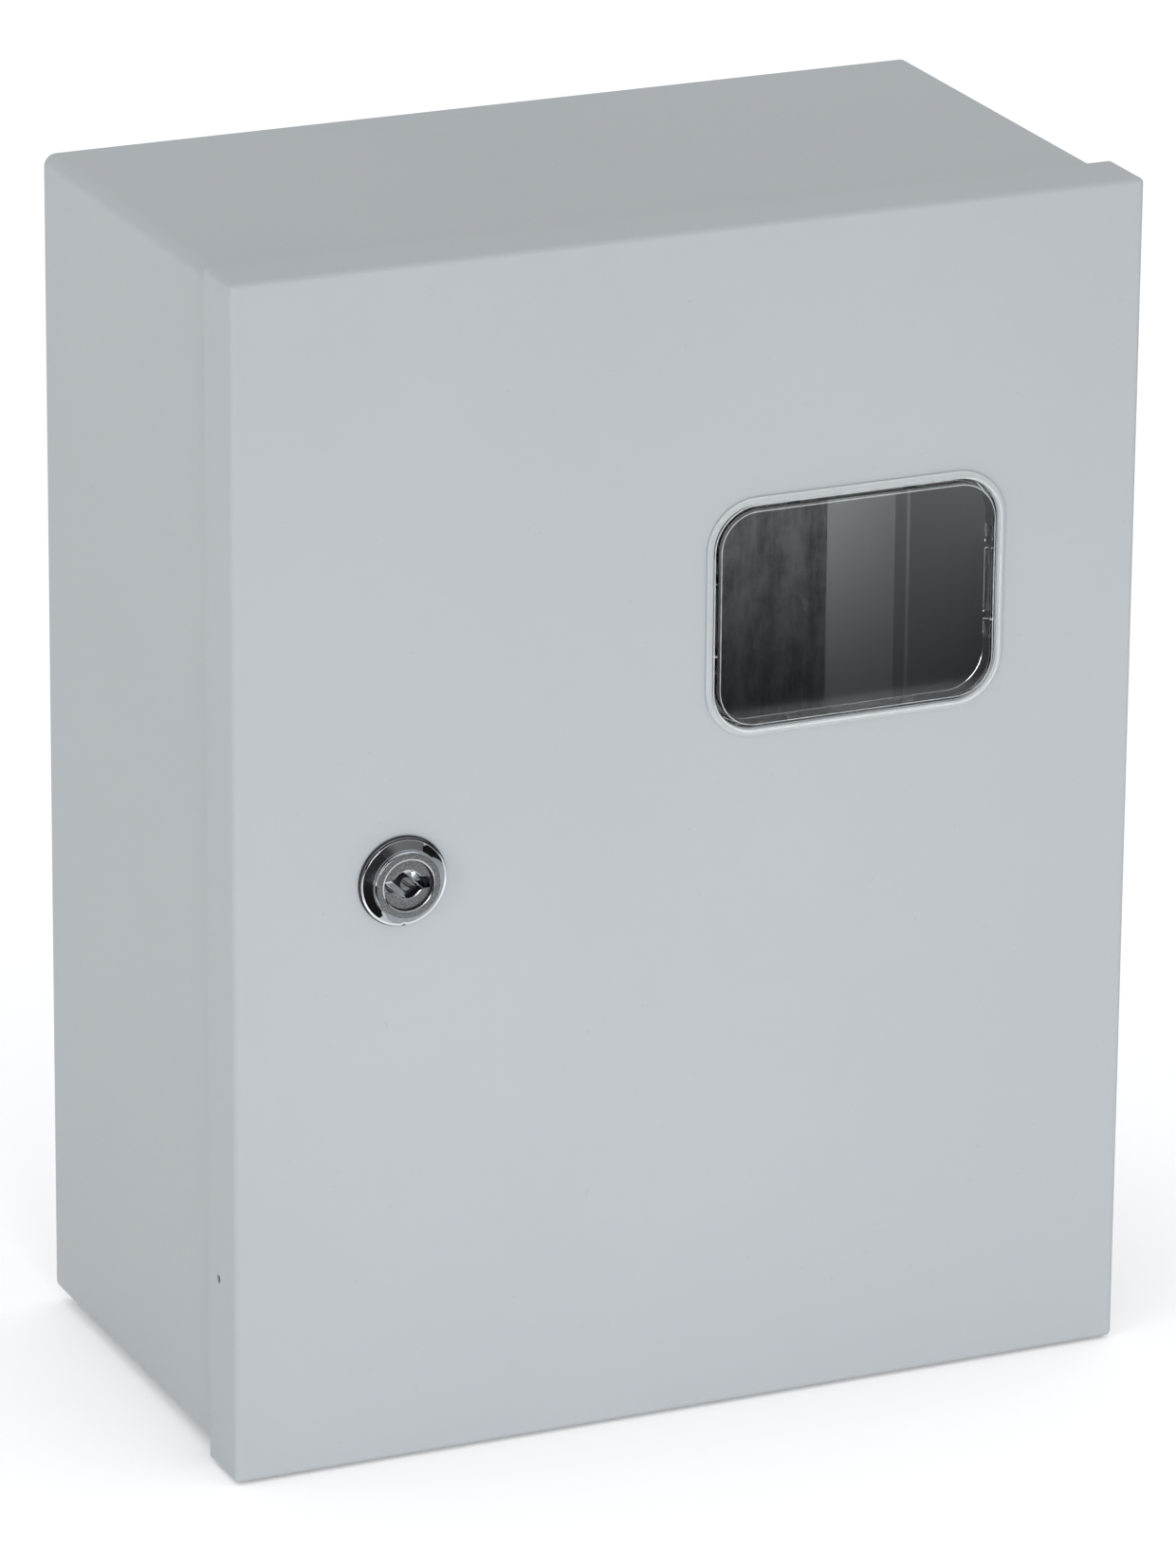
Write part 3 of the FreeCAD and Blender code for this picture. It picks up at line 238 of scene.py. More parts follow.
def sealing_foam():
    """Closed-cell foam: a skin with small open pores, with painted shade in their pits."""
    finish = Finish("sealing_foam")
    pores = finish.cells(1500.0, "Distance")
    swell = finish.noise(90.0, 3.0)
    # Each pore is painted darker towards its pit: painted shade in the pores, over the foam's own
    # near-black.
    finish.set(Base_Color=finish.blend(pores, (0.028, 0.028, 0.031), (0.075, 0.075, 0.082)))
    finish.set(Roughness=swell * 0.1 + 0.82, Specular_IOR_Level=0.2)
    return finish.relief(pores * 0.8 + swell * 0.5, 0.12 * MM, 0.8)


def milky_silicone():
    """Pale translucent silicone, a little cloudier in places."""
    finish = Finish("milky_silicone")
    cloud = finish.noise(160.0, 3.0, 0.6)
    finish.set(Base_Color=finish.blend(cloud, (0.40, 0.425, 0.44), (0.48, 0.505, 0.52)))
    finish.set(Roughness=cloud * 0.15 + 0.30)
    return finish.relief(finish.noise(700.0, 2.0), 0.03 * MM, 0.5)


def polished_chrome():
    """Mirror chrome with hairline handling marks."""
    finish = Finish("polished_chrome")
    hair = finish.noise(500.0, 4.0, 0.7, finish.stretched(1.0, 0.3, 3.0))
    finish.set(Base_Color=finish.blend(hair, (0.47, 0.49, 0.51), (0.55, 0.57, 0.59)))
    finish.set(Metallic=1.0, Roughness=hair.above(0.6, 0.15) * 0.07 + 0.05)
    return finish.relief(hair, 0.004 * MM, 0.4)


def satin_chrome():
    """Die-cast face under thin chrome: grainy, greyer and softer than the bezel."""
    finish = Finish("satin_chrome")
    grain = finish.noise(1800.0, 3.0, 0.6)
    finish.set(Base_Color=finish.blend(grain.above(0.5, 0.22), (0.09, 0.097, 0.10),
                                       (0.23, 0.24, 0.245)))
    finish.set(Metallic=0.9, Roughness=grain * 0.16 + 0.30)
    return finish.relief(grain, 0.06 * MM, 0.9)


def clear_moulding():
    """Clear plastic of the window's lip, skirt and clips: bends light, faintly rippled."""
    finish = Finish("clear_moulding")
    ripple = finish.noise(120.0, 2.0, 0.4)
    scuff = finish.noise(300.0, 5.0, 0.7).above(0.70, 0.08)
    finish.set(Base_Color=finish.blend(scuff * 0.4, (0.94, 0.965, 0.975), (0.80, 0.83, 0.85)))
    finish.set(Roughness=scuff * 0.10 + 0.02, Transmission_Weight=1.0, IOR=1.49)
    return finish.relief(ripple, 0.03 * MM, 0.4)


def clear_pane():
    """Flat of the window: thin and clear, so light passes straight through and only the
    surface's reflection and its fine scuffs are left of it.  The reflection is the same from
    either side: 0.025 + 0.9 (1 - cos angle)^5."""
    finish = Finish("clear_pane")
    scuff = finish.noise(95.0, 6.0, 0.75, finish.stretched(1.0, 1.0, 0.6)).above(0.70, 0.07)
    ripple = finish.noise(28.0, 2.0, 0.4)
    facing = finish.node("ShaderNodeLayerWeight", {}, {"Blend": 0.5}, "Facing")
    mirror = facing.math("POWER", 5.0) * 0.9 + 0.025
    finish.set(Base_Color=finish.blend(scuff, (0.93, 0.96, 0.97), (0.55, 0.58, 0.60)))
    finish.set(Metallic=1.0, Roughness=scuff * 0.35 + 0.03, Alpha=mirror + scuff * 0.07)
    return finish.relief(ripple, 0.05 * MM, 0.25)


def painted_groove_highlight():
    """Pale line in the window's grooves, in the same plastic and half see-through: a painted
    highlight that stands for the light lines the grooves catch.
    """
    finish = Finish("painted_groove_highlight")
    painted_line = finish.noise(420.0, 3.0, 0.6)
    finish.set(Base_Color=finish.blend(painted_line, (0.58, 0.61, 0.63), (0.72, 0.75, 0.77)))
    finish.set(Roughness=painted_line * 0.2 + 0.25, Alpha=painted_line * 0.5 + 0.30)
    return finish.relief(painted_line, 0.02 * MM, 0.5)


COAT = powder_coat()
GALVANISED = galvanised()
ZINC = zinc_plate()
BRASS = bar_brass()
BLUE = moulded_blue()
RUBBER = black_rubber()
FOAM = sealing_foam()
SILICONE = milky_silicone()
CHROME = polished_chrome()
SATIN = satin_chrome()
CLEAR = clear_moulding()
PANE = clear_pane()
GROOVE_HIGHLIGHT = painted_groove_highlight()

BY_SLOT = {
    "painted_steel": COAT, "galvanised_sheet": GALVANISED, "zinc_plated_steel": ZINC,
    "chromed_zinc": CHROME, "brass": BRASS, "black_rubber": RUBBER, "sealing_foam": FOAM,
    "clear_silicone": SILICONE, "clear_plastic": CLEAR, "blue_plastic": BLUE,
}


def wear(thing, *materials):
    """Gives an object these materials in place of its own."""
    if thing.data.materials:
        thing.data.materials.clear()
    for material in materials:
        thing.data.materials.append(material)


for part in frame["record"]["subparts"]:
    wear(nodes[part["node"]], BY_SLOT[part["material_slot"]])


# ---------------------------------------------------------------- surfaces

def middle(node):
    """Centre of a node's box."""
    low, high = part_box(node)
    return np.array((low + high) / 2)


def extent(node):
    """Size of a node's box along each axis."""
    low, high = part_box(node)
    return np.array(high - low)


def depths(node):
    """How far a node's back and front stand from the wall."""
    low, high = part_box(node)
    return -high.y, -low.y


def soften(profile, radius, steps=4):
    """Rounds the inner corners of an open profile.  Each corner becomes a quadratic curve from
    `radius` before it to `radius` after it, or to 0.45 of a shorter side."""
    profile = np.asarray(profile, float)
    corner = profile[1:-1]

    def towards(end):
        reach = end - corner
        length = np.linalg.norm(reach, axis=1, keepdims=True)
        return corner + reach * np.minimum(radius / length, 0.45)
    first = towards(profile[:-2])[:, None]
    last = towards(profile[2:])[:, None]
    share = np.linspace(0, 1, steps + 1)[None, :, None]
    curve = (1 - share) ** 2 * first + 2 * share * (1 - share) * corner[:, None] + share ** 2 * last
    return np.vstack([profile[:1], curve.reshape(-1, profile.shape[1]), profile[-1:]])


def turned(profile, centre, axis="front", columns=96, flat=None, notch=0.0):
    """A profile of (radius, height) spun about an axis through `centre`:
    P(row, angle) = centre + radius cos(angle) e1 + radius sin(angle) e2 + height e3.
    `flat` cuts the radius back to two planes that far from the axis, across e2, and `notch` is
    the depth of a dip in the outer rim, at its foot."""
    profile = np.asarray(profile, float)
    angle = np.arange(columns) / columns * TURN
    radius = profile[:, :1] + 0 * angle
    if notch:
        foot = 0.75 * TURN
        half_angle = 0.045
        on_rim = radius > radius.max() - 1.0 * MM
        radius = radius - notch * np.exp(-((angle - foot) / half_angle) ** 2) * on_rim
    if flat:
        limit = flat / np.maximum(np.abs(np.sin(angle)), 1e-6)
        radius = np.minimum(radius, np.where(profile[:, 1:] < flat_start(profile), limit, radius))
    return along(axis, centre, radius * np.cos(angle), radius * np.sin(angle),
                 profile[:, 1:] + 0 * angle)


def flat_start(profile):
    """Height under which a lock barrel has its flats: where the bezel's back begins."""
    wide = profile[profile[:, 0] > profile[:, 0].max() - 0.1 * MM]
    return wide[:, 1].min() - 0.05 * MM


AXES = {
    "front": np.array([[1, 0, 0], [0, 0, 1], [0, -1, 0]], float),
    "up": np.array([[1, 0, 0], [0, 1, 0], [0, 0, 1]], float),
    "right": np.array([[0, 1, 0], [0, 0, 1], [1, 0, 0]], float),
}


def along(axis, centre, first, second, height):
    """Places local coordinates: centre + first e1 + second e2 + height e3."""
    return np.asarray(centre) + np.stack([first, second, height], axis=-1) @ AXES[axis]


def thread(radius, pitch, length, depth, columns=24, steps=6):
    """Rows of a threaded rod: radius = crest - depth * |2 frac(height / pitch - turn) - 1|,
    drawn in at both ends by a 45 degree chamfer, with a pole on the axis at each end."""
    rows = int(length / pitch * steps) + 1
    height = np.linspace(0, length, rows)[:, None]
    turn = (np.arange(columns) / columns)[None, :]
    wave = np.abs(2 * np.mod(height / pitch - turn, 1.0) - 1)
    ends = np.minimum(height, length - height)
    radii = np.minimum(radius - depth * wave, radius - depth + ends)
    height = height + 0 * turn
    radii = np.vstack([0 * radii[:1], radii, 0 * radii[:1]])
    height = np.vstack([height[:1], height, height[-1:]])
    return radii * np.cos(turn * TURN), radii * np.sin(turn * TURN), height


def rounded_outline(half_width, half_height, corner, arc=14, side=60):
    """Points and outward normals of a rounded rectangle: four quarter circles joined by
    straight sides, anticlockwise from the right side's upper end."""
    angle = np.linspace(0, TURN / 4, arc)
    x, z, nx, nz = [], [], [], []
    for quarter, (sx, sz) in enumerate(((1, 1), (-1, 1), (-1, -1), (1, -1))):
        turn = angle + quarter * TURN / 4
        x.append(sx * (half_width - corner) + corner * np.cos(turn))
        z.append(sz * (half_height - corner) + corner * np.sin(turn))
        nx.append(np.cos(turn))
        nz.append(np.sin(turn))
    share = np.linspace(0, 1, side)[1:-1]
    for quarter in range(4):
        follow = (quarter + 1) % 4
        for place in (x, z):
            start = place[quarter][-1]
            place[quarter] = np.append(place[quarter], start + share * (place[follow][0] - start))
        for normal in (nx, nz):
            normal[quarter] = np.append(normal[quarter], np.full(side - 2, normal[quarter][-1]))
    return tuple(np.concatenate(part) for part in (x, z, nx, nz))


def carried(profile, outline, centre, shift=0.0):
    """A profile of (inset, depth) carried round an outline:
    P(row, place) = centre + outline - inset * normal, at depth + shift."""
    x, z, nx, nz = outline
    inset = profile[:, :1]
    return np.stack([centre[0] + x - inset * nx, -(profile[:, 1:2] + shift) + 0 * x,
                     centre[2] + z - inset * nz], axis=-1)


def pole(points, row):
    """A row of copies of the mean of one row, which closes a grid there."""
    return np.broadcast_to(points[row].mean(axis=0), points[row].shape)[None]


def capped(points):
    """Closes a grid at both ends with a pole."""
    return np.concatenate([pole(points, 0), points, pole(points, -1)])


def quads(rows, columns, loop):
    """Corner numbers of the faces of a grid that closes on itself round each row, and also
    from its last row to its first where `loop` is true."""
    row = np.arange(rows if loop else rows - 1)[:, None]
    column = np.arange(columns)[None, :]
    below = (row + 1) % rows
    beside = (column + 1) % columns
    return np.stack([row * columns + column, row * columns + beside,
                     below * columns + beside, below * columns + column], axis=-1)


def make_piece(name, body, replaced, skins, materials, crease=32):
    """One mesh from closed grids.  A skin is (points, loop, finish), where finish is a material's
    number or one number for each row of faces.  Coincident points are merged, and faces turned
    outwards; edges sharper than `crease` degrees stay sharp."""
    corners = []
    faces = []
    finishes = []
    for points, loop, finish in skins:
        rows, columns = points.shape[:2]
        face = quads(rows, columns, loop) + sum(len(block) for block in corners)
        corners.append(points.reshape(-1, 3))
        faces.append(face.reshape(-1, 4))
        finishes.append(np.repeat(np.broadcast_to(finish, face.shape[0]), columns))
    mesh = bpy.data.meshes.new(name)
    mesh.from_pydata(np.concatenate(corners).tolist(), [], np.concatenate(faces).tolist())
    mesh.polygons.foreach_set("material_index", np.concatenate(finishes).astype(np.int32))
    work = bmesh.new()
    work.from_mesh(mesh)
    bmesh.ops.remove_doubles(work, verts=work.verts, dist=0.0005 * MM)
    bmesh.ops.dissolve_degenerate(work, edges=work.edges, dist=0.0002 * MM)
    bmesh.ops.recalc_face_normals(work, faces=work.faces)
    work.to_mesh(mesh)
    work.free()
    mesh.shade_smooth()
    mesh.set_sharp_from_angle(angle=math.radians(crease))
    piece = bpy.data.objects.new(name, mesh)
    bpy.context.scene.collection.objects.link(piece)
    wear(piece, *materials)
    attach(piece, body)
    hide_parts(*replaced)
    return piece


# ---------------------------------------------------------------- window

def make_window():
    """Snap-in window.  The plate, lip and skirt are one profile carried round the outline and
    closed by a pole in front and behind; the skirt is slotted beside each side clip, and two
    shallow grooves, coloured with a painted highlight, run round the front.  Clips and nubs are
    ramps outside the skirt."""
    centre = middle("window_pane")
    size = extent("window_pane")
    back, front = depths("window_pane")
    seat = depths("window_seal")[1]
    corner = 17.0 * MM
    outer = 3.1 * MM
    wall = 1.2 * MM
    fillet = 0.6 * MM
    slot_place = 11.8 * MM
    slot_half = 0.75 * MM
    slot_start = seat - 0.8 * MM
    half_width = size[0] / 2
    half_height = size[2] / 2
    outline = rounded_outline(half_width, half_height, corner, 14, 130)
    height, sideways = outline[1:3]
    slot = np.exp(-((np.abs(height) - slot_place) / slot_half) ** 4) * (np.abs(sideways) > 0.999)
    line = outer + wall
    line_half = 0.17 * MM
    line_depth = 0.12 * MM
    step = 2.2 * MM
    step_half = 0.24 * MM
    step_depth = 0.05 * MM
    grooves = [(line + fillet, front), (line + 2 * line_half, front),
               (line + line_half, front - line_depth), (line, front), (step + step_half, front),
               (step, front - step_depth), (step - step_half, front)]
    profile = soften([
        (line, front), (0.0, front), (0.0, seat), (outer, seat),
        (outer, back), (line, back), (line, seat), (line + fillet, seat),
    ], 0.45 * MM)
    profile = np.vstack([grooves, profile[1:]])
    rear = (profile[:, 1:2] < slot_start) * (slot_start - profile[:, 1:2])
    shell = capped(carried(profile, outline, centre, rear * slot))
    # Face finishes: 0 clear moulding, 1 thin pane, 2 the grooves' painted highlight, a pale line
    # that stands for the light they catch.
    clear, pane, painted_line = 0, 1, 2
    groove_faces = [2, 3, 5, 6]
    between = (shell[:-1, 0, 1] + shell[1:, 0, 1]) / 2
    finish = np.where(between > 0.3 * MM - seat, clear, pane)
    finish[-1] = pane
    finish[groove_faces] = painted_line
    skins = [(shell, False, finish)]
    skirt_x = half_width - outer
    skirt_z = half_height - outer
    clip = (20.0 * MM, 1.6 * MM)
    nub = (4.0 * MM, 0.8 * MM)
    side_nub = 16.75 * MM
    top_nub = 20.1 * MM
    hook_front = seat - 2.1 * MM
    hook_back = hook_front - 3.0 * MM
    for side in (-1, 1):
        hooks = [((side * skirt_x, 0.0), (side, 0), clip)]
        hooks += [((side * skirt_x, up), (side, 0), nub) for up in (-side_nub, side_nub)]
        hooks += [((over, side * skirt_z), (0, side), nub) for over in (-top_nub, top_nub)]
        for foot, outward, (length, reach) in hooks:
            skins.append((catch(centre, foot, outward, length, reach, hook_back, hook_front),
                          False, clear))
    make_piece("window_pane_detail", "door", ["window_pane"], skins,
               [CLEAR, PANE, GROOVE_HIGHLIGHT], 40)


def catch(centre, foot, outward, length, reach, back, front):
    """A ramp that stands `reach` out of the skirt.  Its section, a rounded triangle rooted
    0.4 mm inside the wall, is carried along the wall and capped by a pole at each end."""
    root = -0.4 * MM
    toe = 0.2 * MM
    ramp_end = front - 0.9 * MM
    section = soften([(root, back), (toe, back), (reach, ramp_end), (reach, front),
                      (root, front), (root, back)], 0.25 * MM, 3)[:-1]
    place = np.linspace(-1, 1, 9)
    shrink = 1 - 0.35 * np.abs(place) ** 8
    stand = section[None, :, 0] * np.where(section[None, :, 0] > 0, shrink[:, None], 1.0)
    run = place[:, None] * length / 2
    along_x = outward[0] * stand + outward[1] * run
    along_z = outward[1] * stand + outward[0] * run
    points = np.stack([centre[0] + foot[0] + along_x,
                       -(section[None, :, 1] + 0 * run),
                       centre[2] + foot[1] + along_z], axis=-1)
    return capped(points)


def make_window_seal():
    """Flat silicone ring under the window's lip: a crowned strip carried round the cut-out,
    clear of the door and the lip by `gap`."""
    centre = middle("window_seal")
    size = extent("window_seal")
    gap = 0.04 * MM
    back = depths("window_seal")[0] + gap
    front = depths("window_seal")[1] - gap
    width = 2.2 * MM
    corner = 16.7 * MM
    outline = rounded_outline(size[0] / 2, size[2] / 2, corner, 14, 30)
    strip = soften([(width / 2, back), (0.0, back), (0.0, front), (width, front), (width, back),
                    (width / 2, back)], 0.2 * MM)[:-1]
    make_piece("window_seal_detail", "door", ["window_seal"],
               [(carried(strip, outline, centre), True, 0)], [SILICONE], 60)


# ---------------------------------------------------------------- door gasket

def make_gasket():
    """Foam strip on the door's inside, carried round the rain rim's line.  Its free face is
    crowned, with the groove that the rim has pressed into it, and it is butt-jointed below."""
    centre = middle("door_gasket")
    size = extent("door_gasket")
    back, front = depths("door_gasket")
    width = 8.0 * MM
    corner = 6.4 * MM
    outline = rounded_outline(size[0] / 2, size[2] / 2, corner, 10, 160)
    across = np.linspace(0, 1, 25)
    crown = (1 - np.abs(2 * across - 1) ** 4) ** 0.5
    pressed = 0.5 * MM
    groove = pressed * np.exp(-((across - 0.5) / 0.11) ** 2)
    free = np.stack([across * width, front - (front - back) * (0.35 + 0.65 * crown) + groove], 1)
    profile = np.vstack([free, [(width, front), (width / 2, front), (0.0, front)]])
    x, z, _, nz = outline
    joint_place = 40 * MM
    joint_half = 0.35 * MM
    joint_gap = 0.7 * MM
    unevenness = 0.10 * MM
    joint = np.exp(-((x - joint_place) / joint_half) ** 2) * (nz < -0.99)
    wander = unevenness * np.sin(x / (13 * MM)) * np.sin(z / (17 * MM))
    share = (front - profile[:, 1:2]) / (front - back)
    lift = share * (joint * joint_gap + wander + unevenness)
    make_piece("door_gasket_detail", "door", ["door_gasket"],
               [(carried(profile, outline, centre, lift), True, 0)], [FOAM], 50)


# ---------------------------------------------------------------- lock

def lock_centre():
    """A point on the lock's axis, in the wall's plane."""
    centre = middle("lock_seal")
    return np.array([centre[0], 0.0, centre[2]])


def make_lock_housing():
    """Housing spun about the lock's axis: flat rim, polished cone, raised satin face with its
    bore, and behind it a barrel with a thread and two flats."""
    back, front = depths("lock_housing")
    seat = depths("lock_seal")[1]
    rim = extent("lock_housing")[0] / 2
    edge = seat + 0.8 * MM
    cone = edge + 2.2 * MM
    face = 11.15 * MM
    bore = 8.30 * MM
    tail = 6.25 * MM
    shelf = front - 11.15 * MM
    barrel = 11.0 * MM
    flat_rim = 0.75 * MM
    lip = bore + 0.45 * MM
    shoulder = front - 0.50 * MM
    inside = soften([(tail, back), (tail, shelf), (bore, shelf), (bore, front - 0.12 * MM),
                     (lip, front), (face - 0.35 * MM, front), (face, shoulder)], 0.12 * MM, 3)
    outside = soften([(face, shoulder), (face + 0.05 * MM, cone), (rim - flat_rim, edge),
                      (rim, edge), (rim, seat), (barrel, seat)], 0.16 * MM, 3)
    pitch = 1.0 * MM
    thread_depth = 0.5 * MM
    run_in = 1.5 * MM
    rows = int((seat - back) / pitch * 5)
    height = np.linspace(seat - 0.1 * MM, back, rows)
    bite = thread_depth * np.minimum((seat - height) / run_in, 1.0)
    crest = np.stack([barrel - bite * np.abs(2 * np.mod(height / pitch, 1.0) - 1), height], 1)
    crest = np.vstack([crest[:-4], [(barrel - 0.8 * MM, back)]])
    profile = np.vstack([inside, outside[1:], crest])
    barrel_flat = 10.0 * MM
    notch = 0.45 * MM
    points = turned(profile, lock_centre(), "front", 240, barrel_flat, notch)
    radius, depth = profile.T
    wall = (radius < bore + 0.01 * MM) & (np.arange(len(profile)) < len(inside))
    flat = (np.abs(depth - front) < 0.005 * MM) & (np.roll(depth, -1) > front - 0.03 * MM)
    finish = (wall | flat).astype(int)
    make_piece("lock_housing_detail", "door", ["lock_housing"],
               [(points, True, finish)], [CHROME, SATIN], 28)


def make_lock_rotor():
    """Rotor with the key socket: rows of rings about the axis, from the rear pole over the shaft
    and head to the front face, down the socket's wall, over its floor and up the centre pin.
    The socket's edge is the round hole and the two wings joined by a soft maximum:
    edge = (hole^4.5 + wing^4.5)^(1/4.5), wing = min(reach / |cos|, half / |sin|).
    A row's last number says what its radius counts from: 0 the axis, 1 a share of the way from
    the rim to the socket, 2 the socket's edge."""
    back, front = depths("lock_rotor")
    body = 8.25 * MM
    shaft = 6.2 * MM
    square = 3.4 * MM
    hole = 4.6 * MM
    wing_reach = 7.3 * MM
    wing_half = 1.75 * MM
    columns = 192
    angle = np.arange(columns) / columns * TURN
    wing = np.minimum(wing_reach / np.maximum(np.abs(np.cos(angle)), 1e-6),
                      wing_half / np.maximum(np.abs(np.sin(angle)), 1e-6))
    edge = (hole ** 4.5 + wing ** 4.5) ** (1 / 4.5)
    edge = np.minimum(edge, body - 0.35 * MM)
    floor = front - 7.5 * MM
    pin = 2.3 * MM
    pin_top = front - 0.7 * MM
    shoulder = front - 10.0 * MM
    square_top = back + 2.4 * MM
    bevel = 0.25 * MM
    rows = [(0.0, back, 0), (square, back, 0), (square, square_top, 0)]
    rows += [(shaft, square_top, 0), (shaft, shoulder, 0), (body, shoulder, 0)]
    rows += [(body, front - bevel, 0), (body - bevel, front, 0)]
    face = np.linspace(0.06, 0.94, 14)
    rows += [(share, front, 1) for share in face]
    rows += [(bevel, front - 0.02 * MM, 2), (0.06 * MM, front - 0.12 * MM, 2),
             (0.0, front - 0.35 * MM, 2), (0.0, floor, 2)]
    rows += [(pin, floor, 0), (pin, pin_top - 0.35 * MM, 0),
             (pin - 0.12 * MM, pin_top - 0.1 * MM, 0)]
    rows += [(pin * share, pin_top, 0) for share in np.linspace(0.86, 0.0, 14)]
    value, depth, kind = (np.array(column)[:, None] for column in zip(*rows))
    outer = body - bevel
    inner = edge + bevel
    radius = np.select([kind == 0, kind == 1, kind == 2],
                       [value + 0 * angle, outer + (inner - outer) * value, edge + value])
    x = radius * np.cos(angle)
    z = radius * np.sin(angle)
    on_pin = (depth > pin_top - 0.05 * MM) & (radius < 0.9 * pin) & (kind == 0)
    lean = math.radians(-38.0)
    slot_depth = 0.9 * MM
    slot_half = 0.42 * MM
    across = x * math.sin(lean) - z * math.cos(lean)
    slot = slot_depth * np.exp(-(across / slot_half) ** 6) * on_pin
    mark_x, mark_z = -1.0 * MM, -6.3 * MM
    mark_depth = 0.22 * MM
    mark_radius = 0.45 * MM
    away = (x - mark_x) ** 2 + (z - mark_z) ** 2
    mark = mark_depth * np.exp(-away / mark_radius ** 2)
    height = depth - slot - mark * (kind == 1)
    points = along("front", lock_centre(), x, z, height + 0 * x)
    make_piece("lock_rotor_detail", "lock", ["lock_rotor"],
               [(points, False, (kind[:-1, 0] == 2).astype(int))], [SATIN, CHROME], 30)


def make_lock_seal():
    """Flat rubber washer under the bezel, squeezed a little past it, its outer edge rounded."""
    back, front = depths("lock_seal")
    squeezed = 0.65 * MM
    outer = extent("lock_seal")[0] / 2 + squeezed
    inner = 11.3 * MM
    ring = soften([(inner, back), (outer, back), (outer, front), (inner, front), (inner, back)],
                  0.2 * MM)[:-1]
    make_piece("lock_seal_detail", "door", ["lock_seal"],
               [(turned(ring, lock_centre()), True, 0)], [RUBBER], 60)


# ---------------------------------------------------------------- grommets and threads

def make_grommet(side):
    """Membrane grommet spun about an upright axis: two lips round the sheet's edge and a
    membrane with cutting steps, thinner towards the middle."""
    node = f"cable_grommet_{side}"
    low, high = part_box(node)
    centre = np.array([(low.x + high.x) / 2, (low.y + high.y) / 2, 0.0])
    lip = (high.x - low.x) / 2
    neck = 13.7 * MM
    sheet = 1.2 * MM
    membrane = 1.2 * MM
    play = 0.3 * MM
    sheet_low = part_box("body_shell")[0].z
    sheet_high = sheet_low + sheet
    bottom = low.z
    top = high.z
    skin = top - membrane
    under = [(0.0, skin + 0.5 * MM), (2.2 * MM, skin + 0.5 * MM), (2.4 * MM, skin + 0.1 * MM),
             (5.2 * MM, skin + 0.1 * MM), (5.4 * MM, skin - 0.3 * MM), (8.2 * MM, skin - 0.3 * MM),
             (8.4 * MM, skin - 0.6 * MM), (11.0 * MM, skin - 0.6 * MM), (11.0 * MM, bottom)]
    rim = [(lip - 1.2 * MM, bottom), (lip, sheet_low - play), (neck, sheet_low - play),
           (neck, sheet_high + play), (lip, sheet_high + play), (lip - 0.6 * MM, top)]
    over = [(12.2 * MM, top), (11.6 * MM, top - 0.35 * MM), (8.3 * MM, top - 0.35 * MM),
            (8.1 * MM, top - 0.15 * MM), (5.3 * MM, top - 0.15 * MM), (5.1 * MM, top - 0.02 * MM),
            (0.0, top - 0.02 * MM)]
    profile = soften(under + rim + over, 0.25 * MM, 3)
    make_piece(f"{node}_detail", "enclosure", [node],
               [(turned(profile, centre, "up"), False, 0)], [RUBBER], 45)


def make_stud(node, body, axis, foot, spots, length, radius):
    """Threaded studs of one node, each a helical ridge on a rod that starts `foot` along its
    axis from its spot."""
    pitch = 1.0 * MM
    first, second, height = thread(radius, pitch, length, pitch / 2)
    skins = []
    for spot in spots:
        skins.append((along(axis, spot, first, second, height + foot), False, 0))
    make_piece(f"{node}_detail", body, [node], skins, [ZINC], 60)


def make_studs():
    """The plate's four studs, and the earth studs of the body and the door, all M6."""
    low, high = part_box("plate_studs")
    radius = 3.0 * MM
    spots = [np.array([x, 0.0, z]) for x in (low.x + radius, high.x - radius)
             for z in (low.z + radius, high.z - radius)]
    make_stud("plate_studs", "enclosure", "front", -high.y, spots, high.y - low.y, radius)
    low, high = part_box("body_earth_stud")
    spot = middle("body_earth_stud") * np.array([0, 1, 1])
    make_stud("body_earth_stud", "enclosure", "right", low.x, [spot], high.x - low.x, radius)
    low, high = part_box("door_earth_stud")
    spot = middle("door_earth_stud") * np.array([1, 0, 1])
    make_stud("door_earth_stud", "door", "front", -high.y, [spot], high.y - low.y, radius)


make_window()
make_window_seal()
make_gasket()
make_lock_housing()
make_lock_rotor()
make_lock_seal()
for side in ("left", "middle", "right"):
    make_grommet(side)
make_studs()


# ---------------------------------------------------------------- stage, light and camera

def link_mesh(name, corners, faces):
    """A flat piece of the stage from its corners."""
    mesh = bpy.data.meshes.new(name)
    mesh.from_pydata(corners, [], faces)
    thing = bpy.data.objects.new(name, mesh)
    bpy.context.scene.collection.objects.link(thing)
    return thing


def add_floor():
    """Pale seamless floor under the cabinet."""
    size = 30.0
    level = cad_box[0][2] - 0.5 * MM
    spread = [(-size, -size), (size, -size), (size, size), (-size, size)]
    floor = link_mesh("floor", [(x, y, level) for x, y in spread], [(0, 1, 2, 3)])
    finish = Finish("floor_paint")
    grain = finish.noise(1.5, 2.0)
    finish.set(Base_Color=finish.blend(grain, (0.94, 0.94, 0.94), (0.96, 0.96, 0.96)))
    finish.set(Roughness=0.9, Specular_IOR_Level=0.1)
    finish.set(Emission_Color=(1.0, 1.0, 1.0), Emission_Strength=0.13)
    wear(floor, finish.material)


